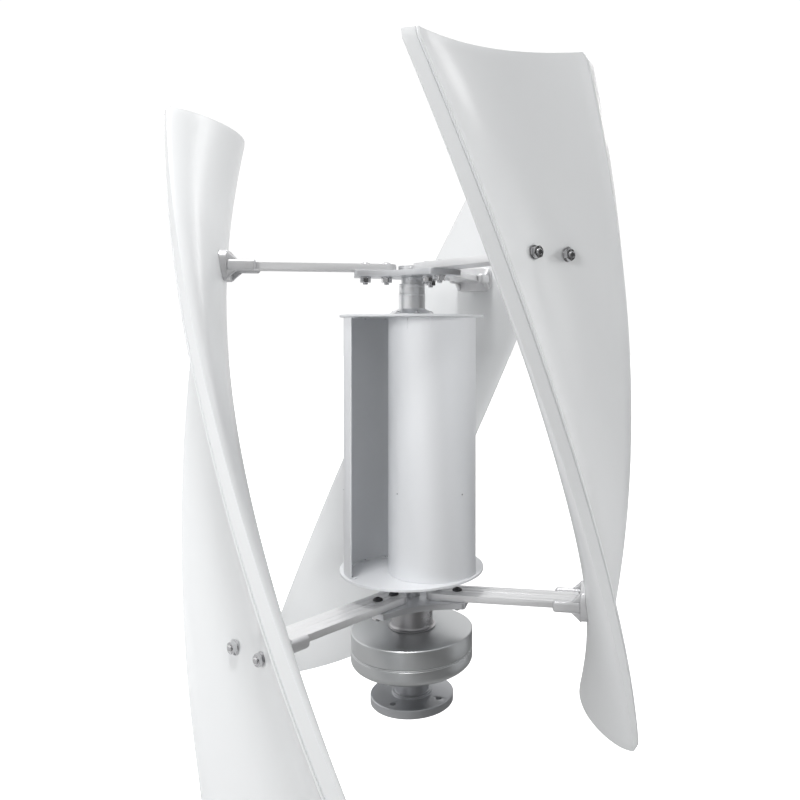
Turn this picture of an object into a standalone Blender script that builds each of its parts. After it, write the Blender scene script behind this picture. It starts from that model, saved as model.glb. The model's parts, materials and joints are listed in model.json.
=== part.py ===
"""Vertical axis wind turbine: three helical blades and a three-scoop drag rotor on a disc generator.

Units are metres, +Z is up. The origin is on the axis, on the underside of the base flange that bolts
to a pole. Azimuths are measured from -Y (the front) towards +X, in degrees. Going down, the blades
turn towards larger azimuths. Everything is built three times at 120 degrees round the axis, so the
stations of one blade give all three. The generator's shells turn with the rotor; its axle, its stator
and the base flange stand still.
"""

import math

import bmesh
import bpy
from mathutils import Matrix, Vector

# ---- driving dimensions ---------------------------------------------------------------------------
GAP = 0.0003                     # clearance between pieces that touch on the real object
COUNT = 3                        # blades, arms at each end, scoop vanes
STEP_DEG = 360.0 / COUNT

# base flange and fixed axle
FLANGE_RADIUS = 0.075
FLANGE_THICKNESS = 0.015
FLANGE_HOLE_RADIUS = 0.0055
FLANGE_HOLE_CIRCLE = 0.058
FLANGE_HOLES = 4
FLANGE_HOLE_START = 60.0
BASE_NECK_RADIUS = 0.0305
BASE_NECK_TOP = 0.0570
BASE_RING_RADIUS = 0.036
BASE_RING_TOP = 0.0195
AXLE_RADIUS = 0.0125
AXLE_BORE = 0.006
AXLE_BOTTOM = 0.005
AXLE_TOP = 0.1325

# generator: two shells that turn, a stator that does not
SHELL_RADIUS = 0.110
SHELL_WALL = 0.006
SHELL_BOTTOM = 0.0615
SHELL_FLOOR = 0.0700
SHELL_ROUND_ACROSS = 0.045       # the underside curves up over this width
SHELL_ROUND_UP = 0.020           # and by this height
SHELL_JOINT = 0.0998
SHELL_RIM = 0.1315
SHELL_CEILING = 0.1250
SHELL_CROWN = 0.1350
BEARING_RADIUS = 0.0260
BEARING_WIDTH = 0.015
LOWER_BEARING_BOTTOM = 0.0650
UPPER_BEARING_BOTTOM = 0.1130
BEARING_BOSS_RADIUS = 0.0340
STATOR_RADIUS = 0.092
STATOR_BOTTOM = 0.0875
STATOR_TOP = 0.1075
STATOR_HUB_RADIUS = 0.024
MAGNET_INNER = 0.052
MAGNET_OUTER = 0.096
MAGNET_THICKNESS = 0.012
NECK_RADIUS = 0.0375
NECK_FOOT_RADIUS = 0.0430
NECK_FOOT_HEIGHT = 0.004

# ball bearings: rings, and a cage that carries the balls
BEARING_INNER_WALL = 0.0038
BEARING_OUTER_WALL = 0.0036
BEARING_PITCH = 0.0195
BALL_RADIUS = 0.0027
BALLS = 8
CAGE_WALL = 0.0014
CAGE_WIDTH = 0.0040

# main shaft, hub plates and collars
SHAFT_RADIUS = 0.014
SHAFT_TOP = 0.7880
LOWER_PLATE_BOTTOM = 0.1805
PLATE_THICKNESS = 0.010
UPPER_PLATE_BOTTOM = 0.7675
PLATE_REACH = 0.104
PLATE_HALF_WIDTH = 0.034
PLATE_WAIST = 0.063
HUB_BOLT_RADII = (0.046, 0.084)
HUB_BOLT_HOLE = 0.0055
DISC_RADIUS = 0.130
DISC_THICKNESS = 0.0025
LOWER_DISC_BOTTOM = 0.2405
UPPER_DISC_BOTTOM = 0.6948
COLLAR_RADIUS = 0.0235
COLLAR_FLANGE_RADIUS = 0.0415
COLLAR_FLANGE_TOP = 0.7018
COLLAR_SLOPE_TOP = 0.7105
COLLAR_SPLIT = 0.7380
COLLAR_TOP = 0.7555
SPACER_RADIUS = 0.0195
BOSS_RADIUS = 0.0250

# scoop vanes
VANE_CENTRE_RADIUS = 0.0457
VANE_CENTRE_AZIMUTH = 61.2
VANE_RADIUS = 0.080
VANE_WALL = 0.0015
VANE_FROM = -92.0
VANE_TO = 73.0
VANE_FACETS = 16

# arms and their end brackets
ARM_WIDTH = 0.054
ARM_THICKNESS = 0.012
ARM_INNER = 0.0290
ARM_CORNER = 0.020
ARM_GROOVE_DEPTH = 0.0012
ARM_GROOVE_WIDTH = 0.004
ARM_GROOVE_OFFSET = 0.014
LOWER_ARM_BOTTOM = LOWER_PLATE_BOTTOM + PLATE_THICKNESS + GAP
UPPER_ARM_BOTTOM = UPPER_PLATE_BOTTOM + PLATE_THICKNESS + GAP
BRACKET_PLATE_THICKNESS = 0.0085  # between the plate's inner plane and the blade's inner face
BRACKET_PLATE_WIDTH = 0.090
BRACKET_PLATE_HEIGHT = 0.068
BRACKET_PAD_DEPTH = 0.028         # ends inside the blade, which is then cut away
FINGER_LENGTH = 0.0475
FINGER_WIDTH = 0.012
FINGER_HEIGHT = 0.020
FINGER_CHAMFER = 0.006
GUSSET_REACH = 0.018
GUSSET_THICKNESS = 0.004
STUD_SPACING = ARM_WIDTH + FINGER_WIDTH + 2 * GAP
STUD_RADIUS = 0.0045
STUD_DEPTH = 0.0335              # from the end plate's inner plane into the finger
STUD_PROUD = 0.0125              # from the washer's seat to the stud's end
SEAT_RISE = 0.0020               # the washers' seats stand this far outside the face's middle
SEAT_RADIUS = 0.0125
WASHER_RADIUS = 0.0105
WASHER_TOP = 0.0018
NUT_RADIUS = 0.0095
NUT_TOP = 0.0090
ARM_END_GAP = 0.0045

# blades
BLADE_TOP = 1.055
BLADE_BOTTOM = -0.0505
BLADE_TOP_AZIMUTH = 22.3
BLADE_TWIST = 76.0
BLADE_TWIST_EASE = 4.4
BLADE_BOW = 0.0266                # how far the middle of the blade lies nearer the axis than its ends
BLADE_FLARE = 0.0257              # how much further out the top end lies than the bottom end
BLADE_STATIONS = 20
CREASE_RADIUS = 0.4177
CREASE_HALF_ANGLE = 17.0
OUTER_FACE_MIDDLE = 0.3644
INNER_FACE_MIDDLE = 0.3395
NOSE_HALF_CHORD = 0.1405
NOSE_CENTRE = 0.3850
NOSE_POWER = 1.86
OUTER_FACE_POINTS = 6
INNER_FACE_POINTS = 12

# ---- materials: name, base colour, metallic, roughness ----------------------------------------------
WHITE_GELCOAT = ("white_gelcoat", (0.80, 0.81, 0.82), 0.0, 0.28)
WHITE_PAINT = ("white_paint", (0.84, 0.85, 0.86), 0.0, 0.38)
BRIGHT_STEEL = ("bright_steel", (0.72, 0.73, 0.74), 1.0, 0.32)
ALUMINIUM = ("aluminium", (0.78, 0.79, 0.80), 1.0, 0.38)
SATIN_GREY = ("satin_grey", (0.52, 0.53, 0.54), 0.8, 0.42)
STAINLESS = ("stainless", (0.66, 0.66, 0.67), 1.0, 0.25)
MAGNET_GREY = ("magnet_grey", (0.35, 0.36, 0.38), 1.0, 0.35)
COIL_RESIN = ("coil_resin", (0.42, 0.10, 0.04), 0.0, 0.50)
BLACK_RUBBER = ("black_rubber", (0.02, 0.02, 0.02), 0.0, 0.70)


# ---- small helpers ----------------------------------------------------------------------------------
def clear_scene():
    """Remove every object, so that the script builds the same model each time."""
    for obj in list(bpy.data.objects):
        bpy.data.objects.remove(obj, do_unlink=True)


def material(finish):
    """Return the Principled material of a finish, made once."""
    name, colour, metallic, roughness = finish
    if name in bpy.data.materials:
        return bpy.data.materials[name]
    mat = bpy.data.materials.new(name)
    mat.use_nodes = True
    shader = mat.node_tree.nodes["Principled BSDF"]
    shader.inputs["Base Color"].default_value = (*colour, 1.0)
    shader.inputs["Metallic"].default_value = metallic
    shader.inputs["Roughness"].default_value = roughness
    mat.diffuse_color = (*colour, 1.0)
    return mat


def polar(radius, azimuth, z=0.0):
    """A point at a radius and an azimuth in degrees from -Y towards +X."""
    turn = math.radians(azimuth)
    return Vector((radius * math.sin(turn), -radius * math.cos(turn), z))


def outward_frame(azimuth):
    """Turn a piece drawn along +X (outwards), with +Y across, to lie along an azimuth."""
    return Matrix.Rotation(math.radians(azimuth - 90.0), 4, "Z")


def finish_mesh(name, bm, finish, smooth_angle=32.0):
    """Close a bmesh into a named object with its own material and smooth round faces."""
    bmesh.ops.remove_doubles(bm, verts=bm.verts, dist=1e-6)
    bmesh.ops.dissolve_degenerate(bm, edges=bm.edges, dist=1e-7)
    bmesh.ops.recalc_face_normals(bm, faces=bm.faces)
    mesh = bpy.data.meshes.new(name)
    bm.to_mesh(mesh)
    bm.free()
    mesh.shade_smooth()
    mesh.set_sharp_from_angle(angle=math.radians(smooth_angle))
    obj = bpy.data.objects.new(name, mesh)
    bpy.context.scene.collection.objects.link(obj)
    obj.data.materials.append(material(finish))
    return obj


def spun_bmesh(profile, segments):
    """Spin a closed (radius, z) outline round the turbine's axis."""
    bm = bmesh.new()
    verts = [bm.verts.new((r, 0.0, z)) for r, z in profile]
    edges = [bm.edges.new((verts[i], verts[(i + 1) % len(verts)])) for i in range(len(verts))]
    bmesh.ops.spin(bm, geom=verts + edges, cent=(0, 0, 0), axis=(0, 0, 1),
                   angle=math.tau, steps=segments, use_merge=True, use_duplicate=False)
    return bm


def turned(name, profile, finish, segments=32):
    """A turned piece from a closed (radius, z) outline."""
    return finish_mesh(name, spun_bmesh(profile, segments), finish)


def ring_profile(inner, outer, bottom, top, chamfer=0.0):
    """The closed outline of a ring, with its outer edges chamfered."""
    if chamfer <= 0.0:
        return [(inner, bottom), (outer, bottom), (outer, top), (inner, top)]
    return [(inner, bottom), (outer - chamfer, bottom), (outer, bottom + chamfer),
            (outer, top - chamfer), (outer - chamfer, top), (inner, top)]


def prism_bmesh(outline, bottom, top):
    """Extrude a closed outline of (x, y) points from bottom to top."""
    bm = bmesh.new()
    base = bm.faces.new([bm.verts.new((x, y, bottom)) for x, y in outline])
    lifted = bmesh.ops.extrude_face_region(bm, geom=[base])
    moved = [item for item in lifted["geom"] if isinstance(item, bmesh.types.BMVert)]
    bmesh.ops.translate(bm, verts=moved, vec=(0, 0, top - bottom))
    return bm


def prism(name, outline, bottom, top, finish):
    """A flat piece cut from plate."""
    return finish_mesh(name, prism_bmesh(outline, bottom, top), finish)


def apply_matrix(obj, matrix):
    """Move the mesh itself, so that the object stays at the origin."""
    obj.data.transform(matrix)
    return obj


def combine(obj, other, operation):
    """Boolean obj with other, then drop the other object."""
    modifier = obj.modifiers.new(operation.lower(), "BOOLEAN")
    modifier.operation = operation
    modifier.solver = "EXACT"
    modifier.object = other
    bpy.context.view_layer.update()
    graph = bpy.context.evaluated_depsgraph_get()
    result = bpy.data.meshes.new_from_object(obj.evaluated_get(graph))
    obj.modifiers.clear()
    old = obj.data
    obj.data = result
    bpy.data.meshes.remove(old)
    bpy.data.objects.remove(other, do_unlink=True)
    result.shade_smooth()
    result.set_sharp_from_angle(angle=math.radians(32.0))
    return obj


def cut(obj, cutter):
    """Cut a shape out of a piece."""
    return combine(obj, cutter, "DIFFERENCE")


def join(obj, other):
    """Weld a shape onto a piece, so that the two are one body."""
    return combine(obj, other, "UNION")


def rod(start, end, radius, segments=16, name="rod", finish=STAINLESS):
    """A round bar between two points."""
    start = Vector(start)
    axis = Vector(end) - start
    bm = bmesh.new()
    bmesh.ops.create_cone(bm, cap_ends=True, segments=segments, radius1=radius, radius2=radius,
                          depth=axis.length)
    turn = Vector((0, 0, 1)).rotation_difference(axis.normalized()).to_matrix().to_4x4()
    bm.transform(Matrix.Translation(start + axis / 2) @ turn)
    return finish_mesh(name, bm, finish)


def box(low, high, name="box", finish=BRIGHT_STEEL):
    """A plain block between two corners."""
    outline = [(low[0], low[1]), (high[0], low[1]), (high[0], high[1]), (low[0], high[1])]
    return prism(name, outline, low[2], high[2], finish)


# ---- fixed pieces -------------------------------------------------------------------------------------
def base_flange():
    """The bolting flange with its neck; the axle is pressed into it from above."""
    neck = BASE_NECK_RADIUS
    seat = AXLE_RADIUS + GAP
    profile = [(seat, AXLE_BOTTOM - GAP), (AXLE_BORE, AXLE_BOTTOM - GAP), (AXLE_BORE, 0.0),
               (FLANGE_RADIUS - 0.001, 0.0), (FLANGE_RADIUS, 0.001),
               (FLANGE_RADIUS, FLANGE_THICKNESS - 0.0015), (FLANGE_RADIUS - 0.0015, FLANGE_THICKNESS),
               (BASE_RING_RADIUS, FLANGE_THICKNESS), (BASE_RING_RADIUS, BASE_RING_TOP - 0.001),
               (BASE_RING_RADIUS - 0.001, BASE_RING_TOP), (neck, BASE_RING_TOP),
               (neck, BASE_NECK_TOP - 0.001), (neck - 0.001, BASE_NECK_TOP), (seat, BASE_NECK_TOP)]
    flange = turned("base_flange", profile, SATIN_GREY, 32)
    for number in range(FLANGE_HOLES):
        place = polar(FLANGE_HOLE_CIRCLE, FLANGE_HOLE_START + number * 360.0 / FLANGE_HOLES)
        below = (place.x, place.y, -0.01)
        above = (place.x, place.y, FLANGE_THICKNESS + 0.01)
        cut(flange, rod(below, above, FLANGE_HOLE_RADIUS))
    return flange


def axle():
    """The fixed hollow axle, whose bore leads the generator's wires down into the pole."""
    profile = [(AXLE_BORE, AXLE_BOTTOM), (AXLE_RADIUS, AXLE_BOTTOM), (AXLE_RADIUS, AXLE_TOP - 0.001),
               (AXLE_RADIUS - 0.001, AXLE_TOP), (AXLE_BORE, AXLE_TOP)]
    return turned("axle", profile, STAINLESS, 20)


def dust_seal():
    """A rubber ring between the standing neck and the turning shell."""
    return turned("dust_seal", ring_profile(0.0262, 0.0298, BASE_NECK_TOP + GAP, SHELL_BOTTOM - 0.0004),
                  BLACK_RUBBER, 24)


def stator_disc():
    """The cast coil disc and its hub on the axle."""
    hub_bottom = LOWER_BEARING_BOTTOM + BEARING_WIDTH + GAP
    hub_top = UPPER_BEARING_BOTTOM - GAP
    inner = AXLE_RADIUS + GAP
    hub = 0.0155
    profile = [(inner, hub_bottom), (hub, hub_bottom), (hub, STATOR_BOTTOM - 0.002),
               (STATOR_HUB_RADIUS, STATOR_BOTTOM), (STATOR_RADIUS, STATOR_BOTTOM),
               (STATOR_RADIUS, STATOR_TOP), (STATOR_HUB_RADIUS, STATOR_TOP),
               (hub, STATOR_TOP + 0.002), (hub, hub_top), (inner, hub_top)]
    return turned("stator_disc", profile, COIL_RESIN, 28)


def bearing(prefix, bottom):
    """A ball bearing: inner ring on the axle, outer ring in a shell, cage and balls between."""
    top = bottom + BEARING_WIDTH
    middle = bottom + BEARING_WIDTH / 2
    inner = AXLE_RADIUS + GAP
    turned(prefix + "_inner_ring", ring_profile(inner, inner + BEARING_INNER_WALL - GAP, bottom, top),
           STAINLESS, 28)
    outer = BEARING_RADIUS
    turned(prefix + "_outer_ring", ring_profile(outer - BEARING_OUTER_WALL, outer, bottom, top),
           STAINLESS, 28)
    ring = ring_profile(BEARING_PITCH - CAGE_WALL / 2, BEARING_PITCH + CAGE_WALL / 2,
                        middle - CAGE_WIDTH / 2, middle + CAGE_WIDTH / 2)
    cage = turned(prefix + "_cage", ring, STAINLESS, 24)
    for number in range(BALLS):
        bm = bmesh.new()
        bmesh.ops.create_uvsphere(bm, u_segments=6, v_segments=4, radius=BALL_RADIUS)
        bm.transform(Matrix.Translation(polar(BEARING_PITCH, number * 360.0 / BALLS, middle)))
        join(cage, finish_mesh("ball", bm, STAINLESS))


# ---- generator shells --------------------------------------------------------------------------------
def lower_shell():
    """The lower shell: rounded underside, bearing boss, wall up to the joint."""
    wall = SHELL_RADIUS - SHELL_WALL
    top = SHELL_JOINT - GAP
    seat = BEARING_RADIUS + GAP
    lip = 0.0215
    boss_top = LOWER_BEARING_BOTTOM + BEARING_WIDTH
    corner = [(SHELL_RADIUS - SHELL_ROUND_ACROSS * (1 - math.cos(a)),
               SHELL_BOTTOM + SHELL_ROUND_UP * (1 - math.sin(a)))
              for a in [math.radians(90 - 18 * i) for i in range(6)]]
    profile = [(lip, SHELL_BOTTOM)] + corner
    profile += [(SHELL_RADIUS, top - 0.0008), (SHELL_RADIUS - 0.0008, top), (wall, top),
                (wall, SHELL_FLOOR + 0.010), (MAGNET_OUTER + 0.0008, SHELL_FLOOR),
                (BEARING_BOSS_RADIUS, SHELL_FLOOR), (BEARING_BOSS_RADIUS, boss_top),
                (seat, boss_top), (seat, LOWER_BEARING_BOTTOM - GAP), (lip, LOWER_BEARING_BOTTOM - GAP)]
    return turned("lower_shell", profile, SATIN_GREY, 36)


def upper_shell():
    """The upper shell: a low crown, bearing boss inside, wall down to the joint."""
    wall = SHELL_RADIUS - SHELL_WALL
    seat = BEARING_RADIUS + GAP
    hole = AXLE_RADIUS + 0.0015
    roof = UPPER_BEARING_BOTTOM + BEARING_WIDTH + GAP
    boss_bottom = UPPER_BEARING_BOTTOM
    profile = [(hole, roof), (seat, roof), (seat, boss_bottom), (BEARING_BOSS_RADIUS, boss_bottom),
               (BEARING_BOSS_RADIUS, SHELL_CEILING), (wall, SHELL_CEILING), (wall, SHELL_JOINT),
               (SHELL_RADIUS - 0.0008, SHELL_JOINT), (SHELL_RADIUS, SHELL_JOINT + 0.0008),
               (SHELL_RADIUS, SHELL_RIM - 0.002), (SHELL_RADIUS - 0.002, SHELL_RIM),
               (NECK_FOOT_RADIUS, SHELL_CROWN), (hole, SHELL_CROWN)]
    return turned("upper_shell", profile, SATIN_GREY, 36)


def magnet_rings():
    """The magnets on the inside of each shell, one ring above the stator and one below it."""
    low = SHELL_FLOOR + GAP
    high = SHELL_CEILING - GAP
    turned("lower_magnet_ring", ring_profile(MAGNET_INNER, MAGNET_OUTER, low, low + MAGNET_THICKNESS),
           MAGNET_GREY, 28)
    turned("upper_magnet_ring", ring_profile(MAGNET_INNER, MAGNET_OUTER, high - MAGNET_THICKNESS, high),
           MAGNET_GREY, 28)


def generator_neck():
    """The neck on the upper shell, which carries the lower hub plate and clamps the shaft's end."""
    bottom = SHELL_CROWN + GAP
    top = LOWER_PLATE_BOTTOM - GAP
    bore = SHAFT_RADIUS + GAP
    profile = [(bore, bottom), (NECK_FOOT_RADIUS - 0.001, bottom), (NECK_FOOT_RADIUS, bottom + 0.001),
               (NECK_FOOT_RADIUS, bottom + 0.0018), (NECK_RADIUS + 0.001, bottom + NECK_FOOT_HEIGHT),
               (NECK_RADIUS, bottom + NECK_FOOT_HEIGHT + 0.002), (NECK_RADIUS, top), (bore, top)]
    return turned("generator_neck", profile, ALUMINIUM, 32)


# ---- shaft, plates, discs and collars --------------------------------------------------------------------
def main_shaft():
    """The shaft from the generator's neck up to the top boss."""
    bottom = SHELL_CROWN + 0.001
    profile = [(0.0, bottom), (SHAFT_RADIUS - 0.001, bottom), (SHAFT_RADIUS, bottom + 0.001),
               (SHAFT_RADIUS, SHAFT_TOP - 0.001), (SHAFT_RADIUS - 0.001, SHAFT_TOP), (0.0, SHAFT_TOP)]
    bm = spun_bmesh(profile, 20)
    return finish_mesh("main_shaft", bm, STAINLESS)


def plate_outline(first_azimuth):
    """Three square-ended legs joined by hollow arcs that pass through the waist radius."""
    corner_radius = math.hypot(PLATE_REACH, PLATE_HALF_WIDTH)
    corner_angle = math.degrees(math.atan2(PLATE_HALF_WIDTH, PLATE_REACH))
    span = STEP_DEG / 2 - corner_angle
    x = corner_radius * math.cos(math.radians(span))
    y = corner_radius * math.sin(math.radians(span))
    centre = (x * x + y * y - PLATE_WAIST ** 2) / (2 * (x - PLATE_WAIST))
    radius = centre - PLATE_WAIST
    half = math.degrees(math.atan2(y, centre - x))
    outline = []
    for leg in range(COUNT):
        azimuth = first_azimuth + leg * STEP_DEG
        outline.append(polar(corner_radius, azimuth + corner_angle))
        middle = azimuth + STEP_DEG / 2
        for part in range(1, 8):
            sweep = math.radians(half - 2 * half * part / 8)
            along = centre - radius * math.cos(sweep)
            across = radius * math.sin(sweep)
            outline.append(polar(math.hypot(along, across), middle - math.degrees(math.atan2(across, along))))
        outline.append(polar(corner_radius, azimuth + STEP_DEG - corner_angle))
    return [(p.x, p.y) for p in outline]


def hub_plate(name, bottom, first_azimuth):
    """A three-legged hub plate with its shaft bore and its bolt holes."""
    plate = prism(name, plate_outline(first_azimuth), bottom, bottom + PLATE_THICKNESS, BRIGHT_STEEL)
    cut(plate, rod((0, 0, bottom - 0.01), (0, 0, bottom + 0.03), SHAFT_RADIUS + 2 * GAP, 20))
    for leg in range(COUNT):
        for radius in HUB_BOLT_RADII:
            low = polar(radius, first_azimuth + leg * STEP_DEG, bottom - 0.01)
            high = polar(radius, first_azimuth + leg * STEP_DEG, bottom + 0.03)
            cut(plate, rod(low, high, HUB_BOLT_HOLE, 8))
    return plate


def scoop_disc(name, bottom):
    """One end disc of the scoop rotor."""
    bore = SHAFT_RADIUS + GAP
    return turned(name, ring_profile(bore, DISC_RADIUS, bottom, bottom + DISC_THICKNESS), WHITE_PAINT, 48)


def scoop_vane(number):
    """A sheet scoop: an arc of tube wall that stands between the two discs."""
    turn = -number * STEP_DEG
    centre = polar(VANE_CENTRE_RADIUS, VANE_CENTRE_AZIMUTH + turn)
    outline = []
    for radius, order in ((VANE_RADIUS, 1), (VANE_RADIUS - VANE_WALL, -1)):
        stops = range(VANE_FACETS + 1)[::order]
        for stop in stops:
            azimuth = VANE_FROM + (VANE_TO - VANE_FROM) * stop / VANE_FACETS + turn
            point = centre + polar(radius, azimuth)
            outline.append((point.x, point.y))
    low = LOWER_DISC_BOTTOM + DISC_THICKNESS + GAP
    return prism(f"scoop_vane_{number + 1}", outline, low, UPPER_DISC_BOTTOM - GAP, WHITE_PAINT)


def collars():
    """The flanged collar on the upper disc, its lock ring, the spacer and the top boss."""
    bore = SHAFT_RADIUS + GAP
    foot = UPPER_DISC_BOTTOM + DISC_THICKNESS + GAP
    collar = [(bore, foot), (COLLAR_FLANGE_RADIUS, foot), (COLLAR_FLANGE_RADIUS, COLLAR_FLANGE_TOP),
              (COLLAR_RADIUS + 0.004, COLLAR_SLOPE_TOP - 0.002), (COLLAR_RADIUS + 0.0006, COLLAR_SLOPE_TOP),
              (COLLAR_RADIUS + 0.0006, COLLAR_SPLIT - GAP), (bore, COLLAR_SPLIT - GAP)]
    turned("flanged_collar", collar, ALUMINIUM, 32)
    turned("lock_ring", ring_profile(bore, COLLAR_RADIUS, COLLAR_SPLIT, COLLAR_TOP, 0.0008), ALUMINIUM, 32)
    turned("shaft_spacer", ring_profile(bore, SPACER_RADIUS, COLLAR_TOP + GAP, UPPER_PLATE_BOTTOM - GAP),
           ALUMINIUM, 24)
    turned("top_boss", ring_profile(bore, BOSS_RADIUS, UPPER_ARM_BOTTOM, SHAFT_TOP, 0.001), ALUMINIUM, 28)


# ---- blades ---------------------------------------------------------------------------------------------
def blade_azimuth(z):
    """The azimuth of the first blade's mid-chord at a height."""
    s = (BLADE_TOP - z) / (BLADE_TOP - BLADE_BOTTOM)
    return BLADE_TOP_AZIMUTH + BLADE_TWIST * s - BLADE_TWIST_EASE * s * (1.0 - s)


def blade_swell(z):
    """How far the blade's section is moved outwards at a height."""
    s = (BLADE_TOP - z) / (BLADE_TOP - BLADE_BOTTOM)
    return BLADE_FLARE * (0.5 - s) - 4.0 * BLADE_BOW * s * (1.0 - s)


def plate_radius(middle):
    """The radius of a bracket's inner plane, for an arm whose middle is at a height."""
    return INNER_FACE_MIDDLE + blade_swell(middle) - BRACKET_PLATE_THICKNESS


def seat_radius(middle):
    """The radius of the flat seats of the washers on the blade's outer face."""
    return OUTER_FACE_MIDDLE + blade_swell(middle) + SEAT_RISE


def blade_section():
    """The blade's outline as (across, out) points: hollow outer face, creases, full round inner side."""
    crease_across = CREASE_RADIUS * math.sin(math.radians(CREASE_HALF_ANGLE))
    crease_out = CREASE_RADIUS * math.cos(math.radians(CREASE_HALF_ANGLE))
    points = []
    for step in range(OUTER_FACE_POINTS + 1):
        u = -1.0 + 2.0 * step / OUTER_FACE_POINTS
        points.append((crease_across * u, OUTER_FACE_MIDDLE + (crease_out - OUTER_FACE_MIDDLE) * u * u))
    depth = NOSE_CENTRE - INNER_FACE_MIDDLE
    for step in range(INNER_FACE_POINTS + 1):
        turn = math.pi * step / INNER_FACE_POINTS
        across = math.copysign(abs(math.cos(turn)) ** (2.0 / NOSE_POWER), math.cos(turn))
        out = abs(math.sin(turn)) ** (2.0 / NOSE_POWER)
        points.append((NOSE_HALF_CHORD * across, NOSE_CENTRE - depth * out))
    return points


def section_ring(z, azimuth, grow=0.0):
    """The section's points at a height; grow moves the inner face towards the axis."""
    turn = outward_frame(azimuth)
    shift = blade_swell(z) - grow
    return [turn @ Vector((out + shift, across, z)) for across, out in blade_section()]


def blade_bmesh(first_azimuth, grow=0.0):
    """Loft the section over the blade's whole height, in triangles with one fixed diagonal."""
    bm = bmesh.new()
    rings = []
    for station in range(BLADE_STATIONS + 1):
        z = BLADE_BOTTOM + (BLADE_TOP - BLADE_BOTTOM) * station / BLADE_STATIONS
        azimuth = blade_azimuth(z) + first_azimuth
        rings.append([bm.verts.new(p) for p in section_ring(z, azimuth, grow)])
    size = len(rings[0])
    for below, above in zip(rings, rings[1:]):
        for i in range(size):
            j = (i + 1) % size
            bm.faces.new((below[i], below[j], above[j]))
            bm.faces.new((below[i], above[j], above[i]))
    bm.faces.new(rings[0])
    bm.faces.new(rings[-1])
    return bm


def blade(name, first_azimuth, holes):
    """A moulded blade with the holes of its four studs."""
    piece = finish_mesh(name, blade_bmesh(first_azimuth), WHITE_GELCOAT, 28.0)
    for inside, outside in holes:
        axis = (outside - inside).normalized()
        seat = outside - axis * STUD_PROUD
        cut(piece, rod(inside, outside + axis * STUD_PROUD, STUD_RADIUS + 2 * GAP, 8))
        cut(piece, rod(seat, outside + axis * STUD_PROUD, SEAT_RADIUS, 12))
    return piece


# ---- arms, brackets and blade studs ----------------------------------------------------------------------
def arm(name, azimuth, bottom):
    """A grooved flat bar with a rounded inner end, drawn along +X and turned to its azimuth."""
    half = ARM_WIDTH / 2
    end = plate_radius(bottom + ARM_THICKNESS / 2) - ARM_END_GAP
    corner = [(ARM_INNER + ARM_CORNER * (1 - math.cos(a)), half - ARM_CORNER * (1 - math.sin(a)))
              for a in [math.radians(18 * i) for i in range(6)]]
    outline = [(x, -y) for x, y in reversed(corner)] + corner + [(end, half), (end, -half)]
    bar = prism(name, outline, bottom, bottom + ARM_THICKNESS, BRIGHT_STEEL)
    for side in (-1, 1):
        for face in (bottom, bottom + ARM_THICKNESS):
            low = (0.110, side * ARM_GROOVE_OFFSET - ARM_GROOVE_WIDTH / 2, face - ARM_GROOVE_DEPTH)
            high = (end + 0.01, side * ARM_GROOVE_OFFSET + ARM_GROOVE_WIDTH / 2, face + ARM_GROOVE_DEPTH)
            cut(bar, box(low, high))
    for radius in HUB_BOLT_RADII:
        cut(bar, rod((radius, 0, bottom - 0.01), (radius, 0, bottom + 0.03), HUB_BOLT_HOLE, 8))
    return apply_matrix(bar, outward_frame(azimuth))


def stud_ends(azimuth, middle):
    """The inner and outer end points of a bracket's two studs, in line with its fingers."""
    turn = outward_frame(azimuth)
    inner = plate_radius(middle) - STUD_DEPTH
    outer = seat_radius(middle) + STUD_PROUD
    sides = (-STUD_SPACING / 2, STUD_SPACING / 2)
    return [(turn @ Vector((inner, across, middle)), turn @ Vector((outer, across, middle)))
            for across in sides]


def bracket(name, azimuth, first_azimuth, bottom):
    """Two fingers that grip the arm, an end plate and gussets; the plate is shaped to the blade."""
    middle = bottom + ARM_THICKNESS / 2
    plane = plate_radius(middle)
    plate = box((plane, -BRACKET_PLATE_WIDTH / 2, middle - BRACKET_PLATE_HEIGHT / 2),
                (plane + BRACKET_PAD_DEPTH, BRACKET_PLATE_WIDTH / 2,
                 middle + BRACKET_PLATE_HEIGHT / 2), name)
    reach = plane + 0.002
    tip_inner = plane - FINGER_LENGTH
    half = ARM_WIDTH / 2 + GAP
    for side in (-1, 1):
        near = side * half
        far = side * (half + FINGER_WIDTH)
        outline = [(tip_inner + FINGER_CHAMFER, far), (reach, far), (reach, near), (tip_inner, near),
                   (tip_inner, far - side * FINGER_CHAMFER)]
        join(plate, prism("finger", outline, middle - FINGER_HEIGHT / 2, middle + FINGER_HEIGHT / 2,
                          BRIGHT_STEEL))
        across = side * (half + FINGER_WIDTH / 2)
        for way in (-1, 1):
            root = middle + way * (FINGER_HEIGHT / 2 - 0.001)
            tip = middle + way * (BRACKET_PLATE_HEIGHT / 2 - 0.002)
            outline = [(reach, root), (reach - GUSSET_REACH, root), (reach, tip)]
            gusset = prism("gusset", outline, -GUSSET_THICKNESS / 2, GUSSET_THICKNESS / 2, BRIGHT_STEEL)
            apply_matrix(gusset, Matrix.Translation((0, across, 0)) @ Matrix.Rotation(math.pi / 2, 4, "X"))
            join(plate, gusset)
    apply_matrix(plate, outward_frame(azimuth))
    cut(plate, finish_mesh("blade_copy", blade_bmesh(first_azimuth, 1.5 * GAP), WHITE_GELCOAT))
    return plate


def blade_stud(name, inside, outside):
    """A stud from the bracket's finger through the blade, with washer and nut on the blade's outer face."""
    axis = (outside - inside).normalized()
    seat = outside - axis * (STUD_PROUD - GAP)
    stud = rod(inside, outside, STUD_RADIUS, 8, name)
    join(stud, rod(seat, seat + axis * WASHER_TOP, WASHER_RADIUS, 12))
    join(stud, rod(seat + axis * WASHER_TOP / 2, seat + axis * NUT_TOP, NUT_RADIUS, 6))
    return stud


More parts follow.
